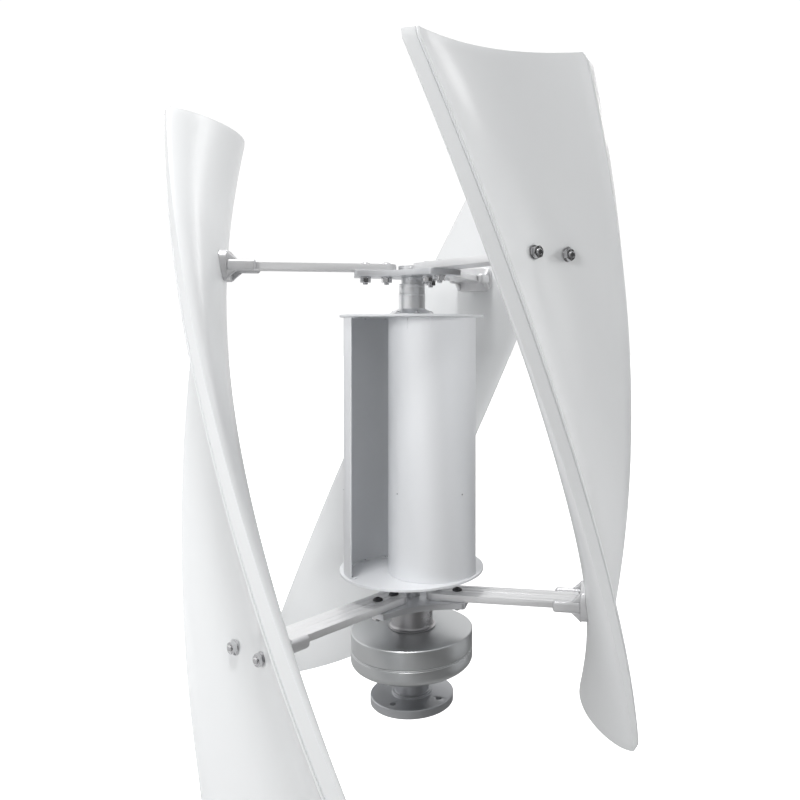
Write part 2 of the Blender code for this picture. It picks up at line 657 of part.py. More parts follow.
def rotor_ends(first_azimuth, tag):
    """One blade with its two arms, brackets and four studs."""
    holes = []
    for level, bottom in (("upper", UPPER_ARM_BOTTOM), ("lower", LOWER_ARM_BOTTOM)):
        middle = bottom + ARM_THICKNESS / 2
        azimuth = blade_azimuth(middle) + first_azimuth
        arm(f"{level}_arm_{tag}", azimuth, bottom)
        holder = bracket(f"{level}_bracket_{tag}", azimuth, first_azimuth, bottom)
        for number, (inside, outside) in enumerate(stud_ends(azimuth, middle), 1):
            back = inside + (inside - outside).normalized() * GAP
            cut(holder, rod(back, outside, STUD_RADIUS + 2 * GAP, 8))
            blade_stud(f"{level}_blade_stud_{tag}_{number}", inside, outside)
            holes.append((inside, outside))
    blade(f"blade_{tag}", first_azimuth, holes)


def build():
    """Build the whole turbine."""
    clear_scene()
    base_flange()
    axle()
    dust_seal()
    stator_disc()
    bearing("lower_bearing", LOWER_BEARING_BOTTOM)
    bearing("upper_bearing", UPPER_BEARING_BOTTOM)
    lower_shell()
    upper_shell()
    magnet_rings()
    generator_neck()
    main_shaft()
    hub_plate("lower_hub_plate", LOWER_PLATE_BOTTOM, blade_azimuth(LOWER_ARM_BOTTOM + ARM_THICKNESS / 2))
    hub_plate("upper_hub_plate", UPPER_PLATE_BOTTOM, blade_azimuth(UPPER_ARM_BOTTOM + ARM_THICKNESS / 2))
    scoop_disc("lower_scoop_disc", LOWER_DISC_BOTTOM)
    scoop_disc("upper_scoop_disc", UPPER_DISC_BOTTOM)
    for number in range(COUNT):
        scoop_vane(number)
    collars()
    for number, tag in enumerate(("a", "b", "c")):
        rotor_ends(number * STEP_DEG, tag)


build()
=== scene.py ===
"""Looks of a vertical axis wind turbine: three helical blades round a scoop rotor on a disc generator.

Lengths are metres and angles are degrees. Azimuths are measured from -Y, the front, towards +X. The
blades, arms and scoops are built once and copied at 120 degrees round the axis. All that turns rides on
the body "rotor", and the base flange rides on the body "stand".
"""

import json
import logging
import math
from dataclasses import dataclass, field
from enum import Enum
from functools import cache
from typing import Callable, Iterable, Sequence

import bpy
from mathutils import Matrix, Vector

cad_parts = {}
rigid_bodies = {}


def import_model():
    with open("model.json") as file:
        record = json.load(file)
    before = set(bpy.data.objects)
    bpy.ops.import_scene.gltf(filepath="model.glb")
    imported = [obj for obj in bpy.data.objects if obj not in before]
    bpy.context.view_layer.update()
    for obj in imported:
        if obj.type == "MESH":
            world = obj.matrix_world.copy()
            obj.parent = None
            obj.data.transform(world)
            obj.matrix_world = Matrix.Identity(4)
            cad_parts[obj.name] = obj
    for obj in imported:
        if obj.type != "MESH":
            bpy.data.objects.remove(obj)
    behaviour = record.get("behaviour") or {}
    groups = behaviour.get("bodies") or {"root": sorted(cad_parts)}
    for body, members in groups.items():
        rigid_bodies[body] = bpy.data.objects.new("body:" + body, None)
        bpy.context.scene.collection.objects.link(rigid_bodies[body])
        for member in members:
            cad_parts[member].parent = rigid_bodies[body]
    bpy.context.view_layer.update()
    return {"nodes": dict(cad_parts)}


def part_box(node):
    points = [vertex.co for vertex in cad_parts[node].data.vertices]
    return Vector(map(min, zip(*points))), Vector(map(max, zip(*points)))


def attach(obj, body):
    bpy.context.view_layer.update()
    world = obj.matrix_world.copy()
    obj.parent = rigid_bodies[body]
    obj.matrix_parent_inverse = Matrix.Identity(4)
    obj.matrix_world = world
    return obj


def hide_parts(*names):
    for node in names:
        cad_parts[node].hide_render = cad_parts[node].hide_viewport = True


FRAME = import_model()

LOG = logging.getLogger("turbine")
STEP = 120.0
TAGS = ("a", "b", "c")
ROTOR = "rotor"
STAND = "stand"
Point2 = tuple[float, float]
Colour = tuple[float, float, float]
SHAFT_BORE = 0.0143
STUD_HOLE = 0.0052
BRACKET_HOLE = 0.0051
SCREW_HOLE = 0.0053


# ---- finishes ----
class Grain(Enum):
    """The way a surface was finished."""

    GELCOAT = "gelcoat"
    POWDER = "powder"
    TURNED = "turned"
    DRAWN = "drawn"
    CAST = "cast"
    PLATED = "plated"
    MATTE = "matte"


def feed(tree: bpy.types.NodeTree, node: bpy.types.Node, sockets: dict[str | int, object]) -> None:
    """Set or wire a node's inputs.

    Args:
        tree: the nodes it belongs to.
        node: the node.
        sockets: for each input, its value or the socket that feeds it.
    """
    for label, value in sockets.items():
        if isinstance(value, bpy.types.NodeSocket):
            tree.links.new(value, node.inputs[label])
        else:
            node.inputs[label].default_value = value


def add_node(tree: bpy.types.NodeTree, kind: str, sockets: dict[str | int, object] | None = None,
             **settings: object) -> bpy.types.Node:
    """Add a shader node.

    Args:
        tree: the nodes it joins.
        kind: its type, without the leading ShaderNode.
        sockets: for each input, its value or the socket that feeds it.
        settings: its own settings.

    Returns:
        The node.
    """
    node = tree.nodes.new(f"ShaderNode{kind}")
    for label, value in settings.items():
        setattr(node, label, value)
    feed(tree, node, sockets or {})
    return node


class NodeGroups:
    """Shader node groups that several finishes share, each built once."""

    @staticmethod
    def _new(name: str, inputs: dict[str, float], output: str) -> tuple[bpy.types.NodeTree, dict, object]:
        """Make an empty group that reads a vector and some numbers, and gives one number.

        Args:
            name: the group's name.
            inputs: the default of each number that it reads.
            output: the name of what it gives.

        Returns:
            The tree, the sockets that it reads and the socket that it gives.
        """
        tree = bpy.data.node_groups.new(name, "ShaderNodeTree")
        tree.interface.new_socket(name="Vector", in_out="INPUT", socket_type="NodeSocketVector")
        for label, default in inputs.items():
            socket = tree.interface.new_socket(name=label, in_out="INPUT", socket_type="NodeSocketFloat")
            socket.default_value = default
        tree.interface.new_socket(name=output, in_out="OUTPUT", socket_type="NodeSocketFloat")
        start, end = tree.nodes.new("NodeGroupInput"), tree.nodes.new("NodeGroupOutput")
        return tree, {socket.name: socket for socket in start.outputs if socket.name}, end.inputs[0]

    @staticmethod
    @cache
    def clouds() -> bpy.types.NodeTree:
        """Soft uneven tone, between 0 and 1."""
        tree, given, result = NodeGroups._new("soft_clouds", {"Scale": 6.0, "Contrast": 0.5}, "Mask")
        noise = add_node(tree, "TexNoise", {"Vector": given["Vector"], "Scale": given["Scale"], "Detail": 4.0,
                                            "Roughness": 0.55})
        flip = add_node(tree, "Math", {0: 1.0, 1: given["Contrast"]}, operation="SUBTRACT")
        low, high = (add_node(tree, "Math", {0: flip.outputs[0], 1: half, 2: 0.5}, operation="MULTIPLY_ADD")
                     for half in (-0.5, 0.5))
        spread = add_node(tree, "MapRange", {"Value": noise.outputs["Fac"], "From Min": low.outputs[0],
                                             "From Max": high.outputs[0]})
        tree.links.new(spread.outputs["Result"], result)
        return tree

    @staticmethod
    @cache
    def rings() -> bpy.types.NodeTree:
        """Fine turning marks: lines of equal distance from the axis and of equal height."""
        tree, given, result = NodeGroups._new("turning_marks", {"Density": 900.0}, "Marks")
        split = add_node(tree, "SeparateXYZ", {0: given["Vector"]}).outputs
        flat = add_node(tree, "CombineXYZ", {"X": split["X"], "Y": split["Y"]})
        radius = add_node(tree, "VectorMath", {0: flat.outputs[0]}, operation="LENGTH")
        lines = add_node(tree, "CombineXYZ", {"X": radius.outputs["Value"], "Y": split["Z"]})
        noise = add_node(tree, "TexNoise", {"Vector": lines.outputs[0], "Scale": given["Density"], "Detail": 3.0})
        tree.links.new(noise.outputs["Fac"], result)
        return tree

    @staticmethod
    @cache
    def drawn() -> bpy.types.NodeTree:
        """Fine lines along the first axis of the vector, as on drawn or brushed bar."""
        tree, given, result = NodeGroups._new("drawn_lines", {"Density": 700.0}, "Marks")
        stretch = add_node(tree, "VectorMath", {0: given["Vector"], 1: (0.006, 1.0, 1.0)}, operation="MULTIPLY")
        noise = add_node(tree, "TexNoise", {"Vector": stretch.outputs[0], "Scale": given["Density"], "Detail": 3.0})
        tree.links.new(noise.outputs["Fac"], result)
        return tree

    @staticmethod
    @cache
    def peel() -> bpy.types.NodeTree:
        """The low waves and fine skin of sprayed or moulded coats, as a height."""
        tree, given, result = NodeGroups._new("coat_skin", {"Density": 300.0, "Waves": 12.0}, "Marks")
        fine, broad = (add_node(tree, "TexNoise", {"Vector": given["Vector"], "Scale": given[scale], "Detail": detail})
                       for scale, detail in (("Density", 1.0), ("Waves", 0.0)))
        total = add_node(tree, "Math", {0: broad.outputs["Fac"], 1: 6.0, 2: fine.outputs["Fac"]},
                         operation="MULTIPLY_ADD")
        tree.links.new(total.outputs[0], result)
        return tree


@dataclass(frozen=True)
class Finish:
    """A finish of the turbine, and how it varies over a surface."""

    name: str
    slot: str
    grain: Grain
    colour: Colour
    soiled: Colour
    metallic: float = 0.0
    roughness: float = 0.4
    roughness_spread: float = 0.08
    clouds: float = 6.0
    contrast: float = 0.45
    density: float = 700.0
    height: float = 0.00002
    strength: float = 0.3
    coat: float = 0.0
    coat_roughness: float = 0.08
    anisotropy: float = 0.0

    def material(self) -> bpy.types.Material:
        """Build the material once.

        Returns:
            The finish's material.
        """
        if self.name in bpy.data.materials:
            return bpy.data.materials[self.name]
        mat = bpy.data.materials.new(self.name)
        mat.use_nodes = True
        mat.diffuse_color = (*self.colour, 1.0)
        tree = mat.node_tree
        shader = tree.nodes["Principled BSDF"]
        where = add_node(tree, "TexCoord").outputs
        vector = where["UV" if self.grain is Grain.DRAWN else "Object"]
        grain = {Grain.TURNED: NodeGroups.rings, Grain.DRAWN: NodeGroups.drawn}.get(self.grain, NodeGroups.peel)
        marks = self._group(tree, grain(), {"Vector": vector, "Density": self.density})
        clouds = self._group(tree, NodeGroups.clouds(), {"Vector": where["Object"], "Scale": self.clouds,
                                                         "Contrast": self.contrast})
        share = {Grain.TURNED: 0.35, Grain.DRAWN: 0.10}.get(self.grain, 0.0)
        blend = add_node(tree, "Math", {0: marks, 1: share, 2: clouds}, operation="MULTIPLY_ADD").outputs[0]
        mix = add_node(tree, "Mix", {"A": (*self.soiled, 1.0), "B": (*self.colour, 1.0), "Factor": blend},
                       data_type="RGBA")
        rough = add_node(tree, "MapRange", {"To Min": self.roughness + self.roughness_spread,
                                            "To Max": max(self.roughness - self.roughness_spread, 0.02),
                                            "Value": blend})
        bump = add_node(tree, "Bump", {"Strength": self.strength, "Distance": self.height, "Height": marks})
        feed(tree, shader, {"Metallic": self.metallic, "Coat Weight": self.coat,
                            "Coat Roughness": self.coat_roughness, "Base Color": mix.outputs["Result"],
                            "Roughness": rough.outputs["Result"], "Normal": bump.outputs["Normal"]})
        if self.anisotropy > 0.0:
            tangent = add_node(tree, "Tangent", direction_type="RADIAL", axis="Z")
            feed(tree, shader, {"Anisotropic": self.anisotropy, "Tangent": tangent.outputs["Tangent"]})
        return mat

    @staticmethod
    def _group(tree: bpy.types.NodeTree, group: bpy.types.NodeTree,
               sockets: dict[str, object]) -> bpy.types.NodeSocket:
        """Place a shared group.

        Args:
            tree: the material's nodes.
            group: the shared group.
            sockets: for each input, its value or the socket that feeds it.

        Returns:
            The socket of its result.
        """
        node = tree.nodes.new("ShaderNodeGroup")
        node.node_tree = group
        feed(tree, node, sockets)
        return node.outputs[0]


GELCOAT = Finish("white_gelcoat", "white_gelcoat", Grain.GELCOAT, (0.60, 0.605, 0.61), (0.565, 0.57, 0.575),
                 roughness=0.30, roughness_spread=0.05, clouds=3.0, density=160.0, height=0.0004, strength=0.10,
                 coat=0.50, coat_roughness=0.14)
SHEET_WHITE = Finish("white_sheet", "white_sheet", Grain.POWDER, (0.93, 0.93, 0.95), (0.88, 0.88, 0.91),
                     roughness=0.38, clouds=5.0, density=900.0, height=0.0001, strength=0.15, coat=0.25,
                     coat_roughness=0.15)
TURNED_SHELL = Finish("turned_shell", "turned_shell", Grain.TURNED, (0.37, 0.37, 0.375), (0.29, 0.29, 0.30),
                      metallic=0.95, roughness=0.34, clouds=14.0, density=1400.0, height=0.00003, strength=0.35,
                      anisotropy=0.8)
FLANGE_STEEL = Finish("satin_flange", "satin_flange", Grain.TURNED, (0.30, 0.30, 0.31), (0.22, 0.22, 0.23),
                      metallic=0.9, roughness=0.40, clouds=18.0, density=1100.0, height=0.00003, strength=0.35,
                      anisotropy=0.5)
NECK_STEEL = Finish("satin_neck", "satin_flange", Grain.TURNED, (0.50, 0.49, 0.50), (0.36, 0.36, 0.37),
                    metallic=0.9, roughness=0.32, clouds=18.0, density=1500.0, height=0.00003, strength=0.35,
                    anisotropy=0.5)
MACHINED = Finish("machined_collar", "machined_collar", Grain.TURNED, (0.74, 0.74, 0.75), (0.60, 0.60, 0.61),
                  metallic=1.0, roughness=0.28, clouds=20.0, density=1600.0, height=0.00003, strength=0.35,
                  anisotropy=0.5)
BAR_ALUMINIUM = Finish("drawn_bar", "bright_arm", Grain.DRAWN, (0.86, 0.86, 0.865), (0.80, 0.80, 0.81),
                       metallic=0.60, roughness=0.42, roughness_spread=0.03, clouds=9.0, density=450.0,
                       height=0.00001, strength=0.06)
PLATE_STEEL = Finish("bright_plate", "bright_plate", Grain.DRAWN, (0.72, 0.72, 0.73), (0.60, 0.60, 0.61),
                     metallic=0.9, roughness=0.42, clouds=12.0, density=700.0, height=0.00003, strength=0.30)
CAST_BRACKET = Finish("cast_bracket", "bright_plate", Grain.CAST, (0.78, 0.78, 0.79), (0.66, 0.66, 0.67),
                      metallic=0.60, roughness=0.40, clouds=30.0, density=1200.0, height=0.0003, strength=0.20)
STAINLESS = Finish("stainless", "stainless", Grain.PLATED, (0.66, 0.66, 0.67), (0.48, 0.48, 0.49),
                   metallic=1.0, roughness=0.20, clouds=60.0, density=1500.0, height=0.0001, strength=0.10)
# A darker copy of the stainless finish, in the same slot: painted shade for the lower hub's screws, which sit in the
# lower disc's shadow.
SHADED_STAINLESS = Finish("dark_steel", "stainless", Grain.PLATED, (0.10, 0.10, 0.105), (0.05, 0.05, 0.05),
                     metallic=0.8, roughness=0.40, clouds=60.0, density=1500.0, height=0.0001, strength=0.10)
MAGNET = Finish("magnet_nickel", "magnet", Grain.PLATED, (0.35, 0.36, 0.38), (0.25, 0.25, 0.27),
                metallic=1.0, roughness=0.42, clouds=20.0)
RESIN = Finish("coil_resin", "coil_resin", Grain.CAST, (0.42, 0.10, 0.04), (0.30, 0.06, 0.02), roughness=0.45,
               clouds=40.0, density=500.0, height=0.0003, strength=0.3)
RUBBER = Finish("seal_rubber", "seal_rubber", Grain.MATTE, (0.03, 0.03, 0.03), (0.05, 0.05, 0.05),
                roughness=0.75, clouds=30.0, density=900.0, height=0.0002, strength=0.3)
CAD_FINISHES = {
    "axle": STAINLESS, "dust_seal": RUBBER, "stator_disc": RESIN,
    "lower_magnet_ring": MAGNET, "upper_magnet_ring": MAGNET,
    "lower_bearing_inner_ring": STAINLESS, "upper_bearing_inner_ring": STAINLESS,
    "lower_bearing_outer_ring": STAINLESS, "upper_bearing_outer_ring": STAINLESS,
    "lower_bearing_cage": STAINLESS, "upper_bearing_cage": STAINLESS,
}


# ---- workbench: modelling steps shared by all pieces ----
def polar(radius: float, azimuth: float, z: float = 0.0) -> Vector:
    """A point at a radius, an azimuth and a height."""
    turn = math.radians(azimuth)
    return Vector((radius * math.sin(turn), -radius * math.cos(turn), z))


def outward(azimuth: float) -> Matrix:
    """The turn that lays a piece drawn along +X along an azimuth."""
    return Matrix.Rotation(math.radians(azimuth - 90.0), 4, "Z")


def around(number: int) -> Matrix:
    """The turn from the first blade's place to another's."""
    return Matrix.Rotation(math.radians(number * STEP), 4, "Z")


class Bench:
    """Modelling steps, each one a use of Blender's own operators."""

    SMOOTH_ANGLE = math.radians(32.0)

    @staticmethod
    def pick(obj: bpy.types.Object) -> None:
        """Make a piece the only selected and the active one."""
        if bpy.context.object and bpy.context.object.mode != "OBJECT":
            bpy.ops.object.mode_set(mode="OBJECT")
        bpy.ops.object.select_all(action="DESELECT")
        bpy.context.view_layer.objects.active = obj
        obj.select_set(True)

    @staticmethod
    def edit(obj: bpy.types.Object, kind: str = "FACE") -> None:
        """Enter edit mode with nothing selected."""
        Bench.pick(obj)
        bpy.ops.object.mode_set(mode="EDIT")
        bpy.ops.mesh.select_mode(type=kind)
        bpy.ops.mesh.select_all(action="DESELECT")

    @staticmethod
    def done() -> None:
        """Leave edit mode."""
        bpy.ops.object.mode_set(mode="OBJECT")

    @staticmethod
    def select_edges(obj: bpy.types.Object, test: Callable[[Vector, Vector], bool]) -> None:
        """Select edges by their two ends, from edit mode.

        Args:
            obj: the piece in edit mode.
            test: says whether an edge between these points is wanted.
        """
        bpy.ops.mesh.select_all(action="DESELECT")
        bpy.ops.object.mode_set(mode="OBJECT")
        points = obj.data.vertices
        for edge in obj.data.edges:
            edge.select = test(points[edge.vertices[0]].co, points[edge.vertices[1]].co)
        bpy.ops.object.mode_set(mode="EDIT")

    @staticmethod
    def outline(name: str, points: Sequence[Sequence[float]]) -> bpy.types.Object:
        """A closed wire with its corners at the given points, from a circle.

        Args:
            name: the piece's name.
            points: the corners in order.

        Returns:
            The wire.
        """
        bpy.ops.object.select_all(action="DESELECT")
        bpy.ops.mesh.primitive_circle_add(vertices=len(points), radius=1.0, fill_type="NOTHING")
        obj = bpy.context.object
        obj.name = name
        obj.data.name = name
        for vert, point in zip(obj.data.vertices, points):
            vert.co = point
        return obj

    @staticmethod
    def clean(obj: bpy.types.Object) -> None:
        """Merge doubles and turn the faces outwards."""
        Bench.edit(obj, "VERT")
        bpy.ops.mesh.select_all(action="SELECT")
        bpy.ops.mesh.remove_doubles(threshold=1e-6)
        bpy.ops.mesh.normals_make_consistent(inside=False)
        Bench.done()

    @staticmethod
    def bevel(obj: bpy.types.Object, width: float, segments: int = 2, angle: float = 30.0) -> None:
        """Round a piece's sharp edges with an applied Bevel."""
        Bench.pick(obj)
        modifier = obj.modifiers.new("rounded", "BEVEL")
        modifier.width = width
        modifier.segments = segments
        modifier.limit_method = "ANGLE"
        modifier.angle_limit = math.radians(angle)
        modifier.use_clamp_overlap = True
        modifier.miter_outer = "MITER_ARC"
        bpy.ops.object.modifier_apply(modifier=modifier.name)

    @staticmethod
    def smooth(obj: bpy.types.Object, angle: float = SMOOTH_ANGLE) -> None:
        """Smooth shading that keeps the sharp edges."""
        Bench.pick(obj)
        bpy.ops.object.shade_smooth_by_angle(angle=angle)

    @staticmethod
    def turned(name: str, profile: Sequence[Point2], segments: int = 96, bevel: float = 0.0) -> bpy.types.Object:
        """Spin a closed outline round the turbine's axis.

        Args:
            name: the piece's name.
            profile: the outline as (radius, z) points.
            segments: steps of the spin.
            bevel: width of the rounding of its edges.

        Returns:
            The piece.
        """
        obj = Bench.outline(name, [(r, 0.0, z) for r, z in profile])
        Bench.edit(obj, "VERT")
        bpy.ops.mesh.select_all(action="SELECT")
        bpy.ops.mesh.spin(steps=segments, angle=math.tau, center=(0, 0, 0), axis=(0, 0, 1), use_auto_merge=True)
        Bench.done()
        Bench.clean(obj)
        if bevel > 0.0:
            Bench.bevel(obj, bevel)
        Bench.smooth(obj)
        return obj

    @staticmethod
    def plate(name: str, points: Sequence[Point2], bottom: float, top: float, bevel: float = 0.0,
              segments: int = 2) -> bpy.types.Object:
        """Fill a flat outline and extrude it upwards.

        Args:
            name: the piece's name.
            points: the outline as (x, y) points.
            bottom: height of its underside.
            top: height of its top.
            bevel: width of the rounding of its edges.
            segments: steps of that rounding.

        Returns:
            The piece.
        """
        obj = Bench.extrude(name, [(x, y, bottom) for x, y in points], (0.0, 0.0, top - bottom))
        if bevel > 0.0:
            Bench.bevel(obj, bevel, segments)
        return obj

    @staticmethod
    def extrude(name: str, points: Sequence[Sequence[float]], shift: Sequence[float]) -> bpy.types.Object:
        """Fill an outline and extrude it along a vector."""
        obj = Bench.outline(name, points)
        Bench.edit(obj, "VERT")
        bpy.ops.mesh.select_all(action="SELECT")
        bpy.ops.mesh.edge_face_add()
        bpy.ops.mesh.extrude_region_move(TRANSFORM_OT_translate={"value": shift})
        Bench.done()
        Bench.clean(obj)
        return obj

    @staticmethod
    def bar(low: Sequence[float], high: Sequence[float], bevel: float, segments: int = 3) -> bpy.types.Object:
        """A block with rounded edges between two corners."""
        bpy.ops.object.select_all(action="DESELECT")
        middle = [(a + b) / 2 for a, b in zip(low, high)]
        bpy.ops.mesh.primitive_cube_add(size=1.0, location=middle)
        obj = bpy.context.object
        obj.scale = [b - a for a, b in zip(low, high)]
        Bench.settle(obj)
        Bench.bevel(obj, bevel, segments)
        return obj

    @staticmethod
    def rod(start: Sequence[float], end: Sequence[float], radius: float, sides: int = 32) -> bpy.types.Object:
        """A round bar between two points, for cutting holes and for shanks."""
        bpy.ops.object.select_all(action="DESELECT")
        first = Vector(start)
        axis = Vector(end) - first
        bpy.ops.mesh.primitive_cylinder_add(vertices=sides, radius=radius, depth=axis.length)
        obj = bpy.context.object
        turn = Vector((0, 0, 1)).rotation_difference(axis.normalized()).to_matrix().to_4x4()
        obj.data.transform(Matrix.Translation(first + axis / 2) @ turn)
        return obj

    @staticmethod
    def settle(obj: bpy.types.Object) -> None:
        """Put a piece's place, turn and scale into its mesh."""
        Bench.pick(obj)
        bpy.ops.object.transform_apply(location=True, rotation=True, scale=True)

    @staticmethod
    def merge(pieces: Sequence[bpy.types.Object], name: str) -> bpy.types.Object:
        """Join pieces into one object."""
        Bench.pick(pieces[0])
        for piece in pieces:
            piece.select_set(True)
        if len(pieces) > 1:
            bpy.ops.object.join()
        obj = bpy.context.object
        obj.name = name
        obj.data.name = name
        return obj

    @staticmethod
    def solid(obj: bpy.types.Object, other: bpy.types.Object, operation: str) -> bpy.types.Object:
        """Apply an exact Boolean with another piece, then drop that piece.

        Args:
            obj: the piece to change.
            other: the piece to cut with or to weld on.
            operation: DIFFERENCE, UNION or INTERSECT.

        Returns:
            The changed piece.
        """
        Bench.pick(obj)
        modifier = obj.modifiers.new("shape", "BOOLEAN")
        modifier.operation = operation
        modifier.solver = "EXACT"
        modifier.object = other
        bpy.ops.object.modifier_apply(modifier=modifier.name)
        Bench.drop(other)
        return obj

    @staticmethod
    def drill(obj: bpy.types.Object, cutters: Sequence[bpy.types.Object]) -> None:
        """Cut pieces that stand apart out of a piece."""
        Bench.solid(obj, Bench.merge(cutters, "cutters"), "DIFFERENCE")

    @staticmethod
    def drop(*pieces: bpy.types.Object) -> None:
        """Remove pieces that were only patterns."""
        for piece in pieces:
            bpy.data.objects.remove(piece, do_unlink=True)

    @staticmethod
    def copy(obj: bpy.types.Object, name: str, matrix: Matrix) -> bpy.types.Object:
        """A copy with its own mesh at another place."""
        twin = bpy.data.objects.new(name, obj.data.copy())
        twin.data.name = name
        twin.data.transform(matrix)
        bpy.context.scene.collection.objects.link(twin)
        return twin

    @staticmethod
    def along_uv(obj: bpy.types.Object) -> None:
        """Give a piece drawn along +X a UV map in metres, for lines that follow its length."""
        if not obj.data.uv_layers:
            obj.data.uv_layers.new(name="length")
        layer = obj.data.uv_layers[0]
        for face in obj.data.polygons:
            steep = abs(face.normal.z) < 0.5
            for corner in face.loop_indices:
                spot = obj.data.vertices[obj.data.loops[corner].vertex_index].co
                layer.data[corner].uv = (spot.x, spot.z if steep else spot.y)

    @staticmethod
    def finish(obj: bpy.types.Object, finish: Finish, body: str, nodes: Iterable[str] = ()) -> bpy.types.Object:
        """Dress a piece and put it on its body.

        Args:
            obj: the piece.
            finish: its finish.
            body: the body it rides on.
            nodes: the CAD nodes it stands for.

        Returns:
            The piece.
        """
        obj.data.materials.clear()
        obj.data.materials.append(finish.material())
        for face in obj.data.polygons:
            face.material_index = 0
        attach(obj, body)
        names = list(nodes)
        if names:
            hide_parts(*names)
        LOG.info("%s: %d faces on %s", obj.name, len(obj.data.polygons), body)
        return obj


def thrice(first: bpy.types.Object, name: str, place: Matrix, finish: Finish, node: str) -> None:
    """Copy a piece to the three blades' places, dress the copies and drop the first.

    Args:
        first: the piece to copy.
        name: the copies' names, before their letters.
        place: the first blade's own place.
        finish: the copies' finish.
        node: the CAD nodes' names, before their letters.
    """
    for number, tag in enumerate(TAGS):
        piece = Bench.copy(first, f"{name}_{tag}", around(number) @ place)
        Bench.finish(piece, finish, ROTOR, [f"{node}_{tag}"])
    Bench.drop(first)


# ---- blades ----
@dataclass
class BladeForm:
    """The helical blade's law and section, the same as the CAD model's."""

    top: float = 1.055
    bottom: float = -0.0505
    top_azimuth: float = 22.3
    twist: float = 76.0
    ease: float = 4.4
    bow: float = 0.0266
    flare: float = 0.0257
    crease_radius: float = 0.4177
    crease_half_angle: float = 17.0
    outer_middle: float = 0.3644
    inner_middle: float = 0.3395
    nose_half_chord: float = 0.1405
    nose_centre: float = 0.3850
    nose_power: float = 1.86

    def azimuth(self, z: float) -> float:
        """The azimuth of the first blade's mid-chord at a height."""
        s = (self.top - z) / (self.top - self.bottom)
        return self.top_azimuth + self.twist * s - self.ease * s * (1.0 - s)

    def swell(self, z: float) -> float:
        """How far the section is moved outwards at a height."""
        s = (self.top - z) / (self.top - self.bottom)
        return self.flare * (0.5 - s) - 4.0 * self.bow * s * (1.0 - s)

    def outer(self, across: float) -> float:
        """The outer face's distance from the axis, before the swell."""
        crease_across = self.crease_radius * math.sin(math.radians(self.crease_half_angle))
        crease_out = self.crease_radius * math.cos(math.radians(self.crease_half_angle))
        return self.outer_middle + (crease_out - self.outer_middle) * (across / crease_across) ** 2

    def section(self, face_steps: int, side_steps: int) -> list[Point2]:
        """The blade's outline, with a raised bead and a groove along both creases.

        Args:
            face_steps: steps across the outer face.
            side_steps: steps round the inner side.

        Returns:
            The outline as (across, out) points.
        """
        crease_across = self.crease_radius * math.sin(math.radians(self.crease_half_angle))
        crease_out = self.crease_radius * math.cos(math.radians(self.crease_half_angle))
        edge = 0.0045
        points = []
        for step in range(face_steps + 1):
            u = -1.0 + 2.0 * step / face_steps
            across = (crease_across - edge) * u
            points.append((across, self.outer(across)))
        depth = self.nose_centre - self.inner_middle
        nose = []
        for step in range(side_steps + 1):
            turn = math.pi * step / side_steps
            across = math.copysign(abs(math.cos(turn)) ** (2.0 / self.nose_power), math.cos(turn))
            out = abs(math.sin(turn)) ** (2.0 / self.nose_power)
            nose.append((self.nose_half_chord * across, self.nose_centre - depth * out))
        run = Vector((self.nose_half_chord - crease_across, self.nose_centre - crease_out)).normalized()
        rise = Vector((-run.y, run.x))
        corner = Vector((crease_across, crease_out))
        lip = [corner + Vector((-0.0030, -0.0007)), corner + Vector((-0.0010, 0.0003)),
               corner + run * 0.0010 + rise * 0.0002, corner + run * 0.0018 - rise * 0.0004,
               corner + run * 0.0024 - rise * 0.0022, corner + run * 0.0038 - rise * 0.0022,
               corner + run * 0.0044 - rise * 0.0002, corner + run * 0.0070, corner + run * 0.0140]
        right = [(p.x, p.y) for p in lip]
        left = [(-p.x, p.y) for p in reversed(lip)]
        return points + right + nose + left


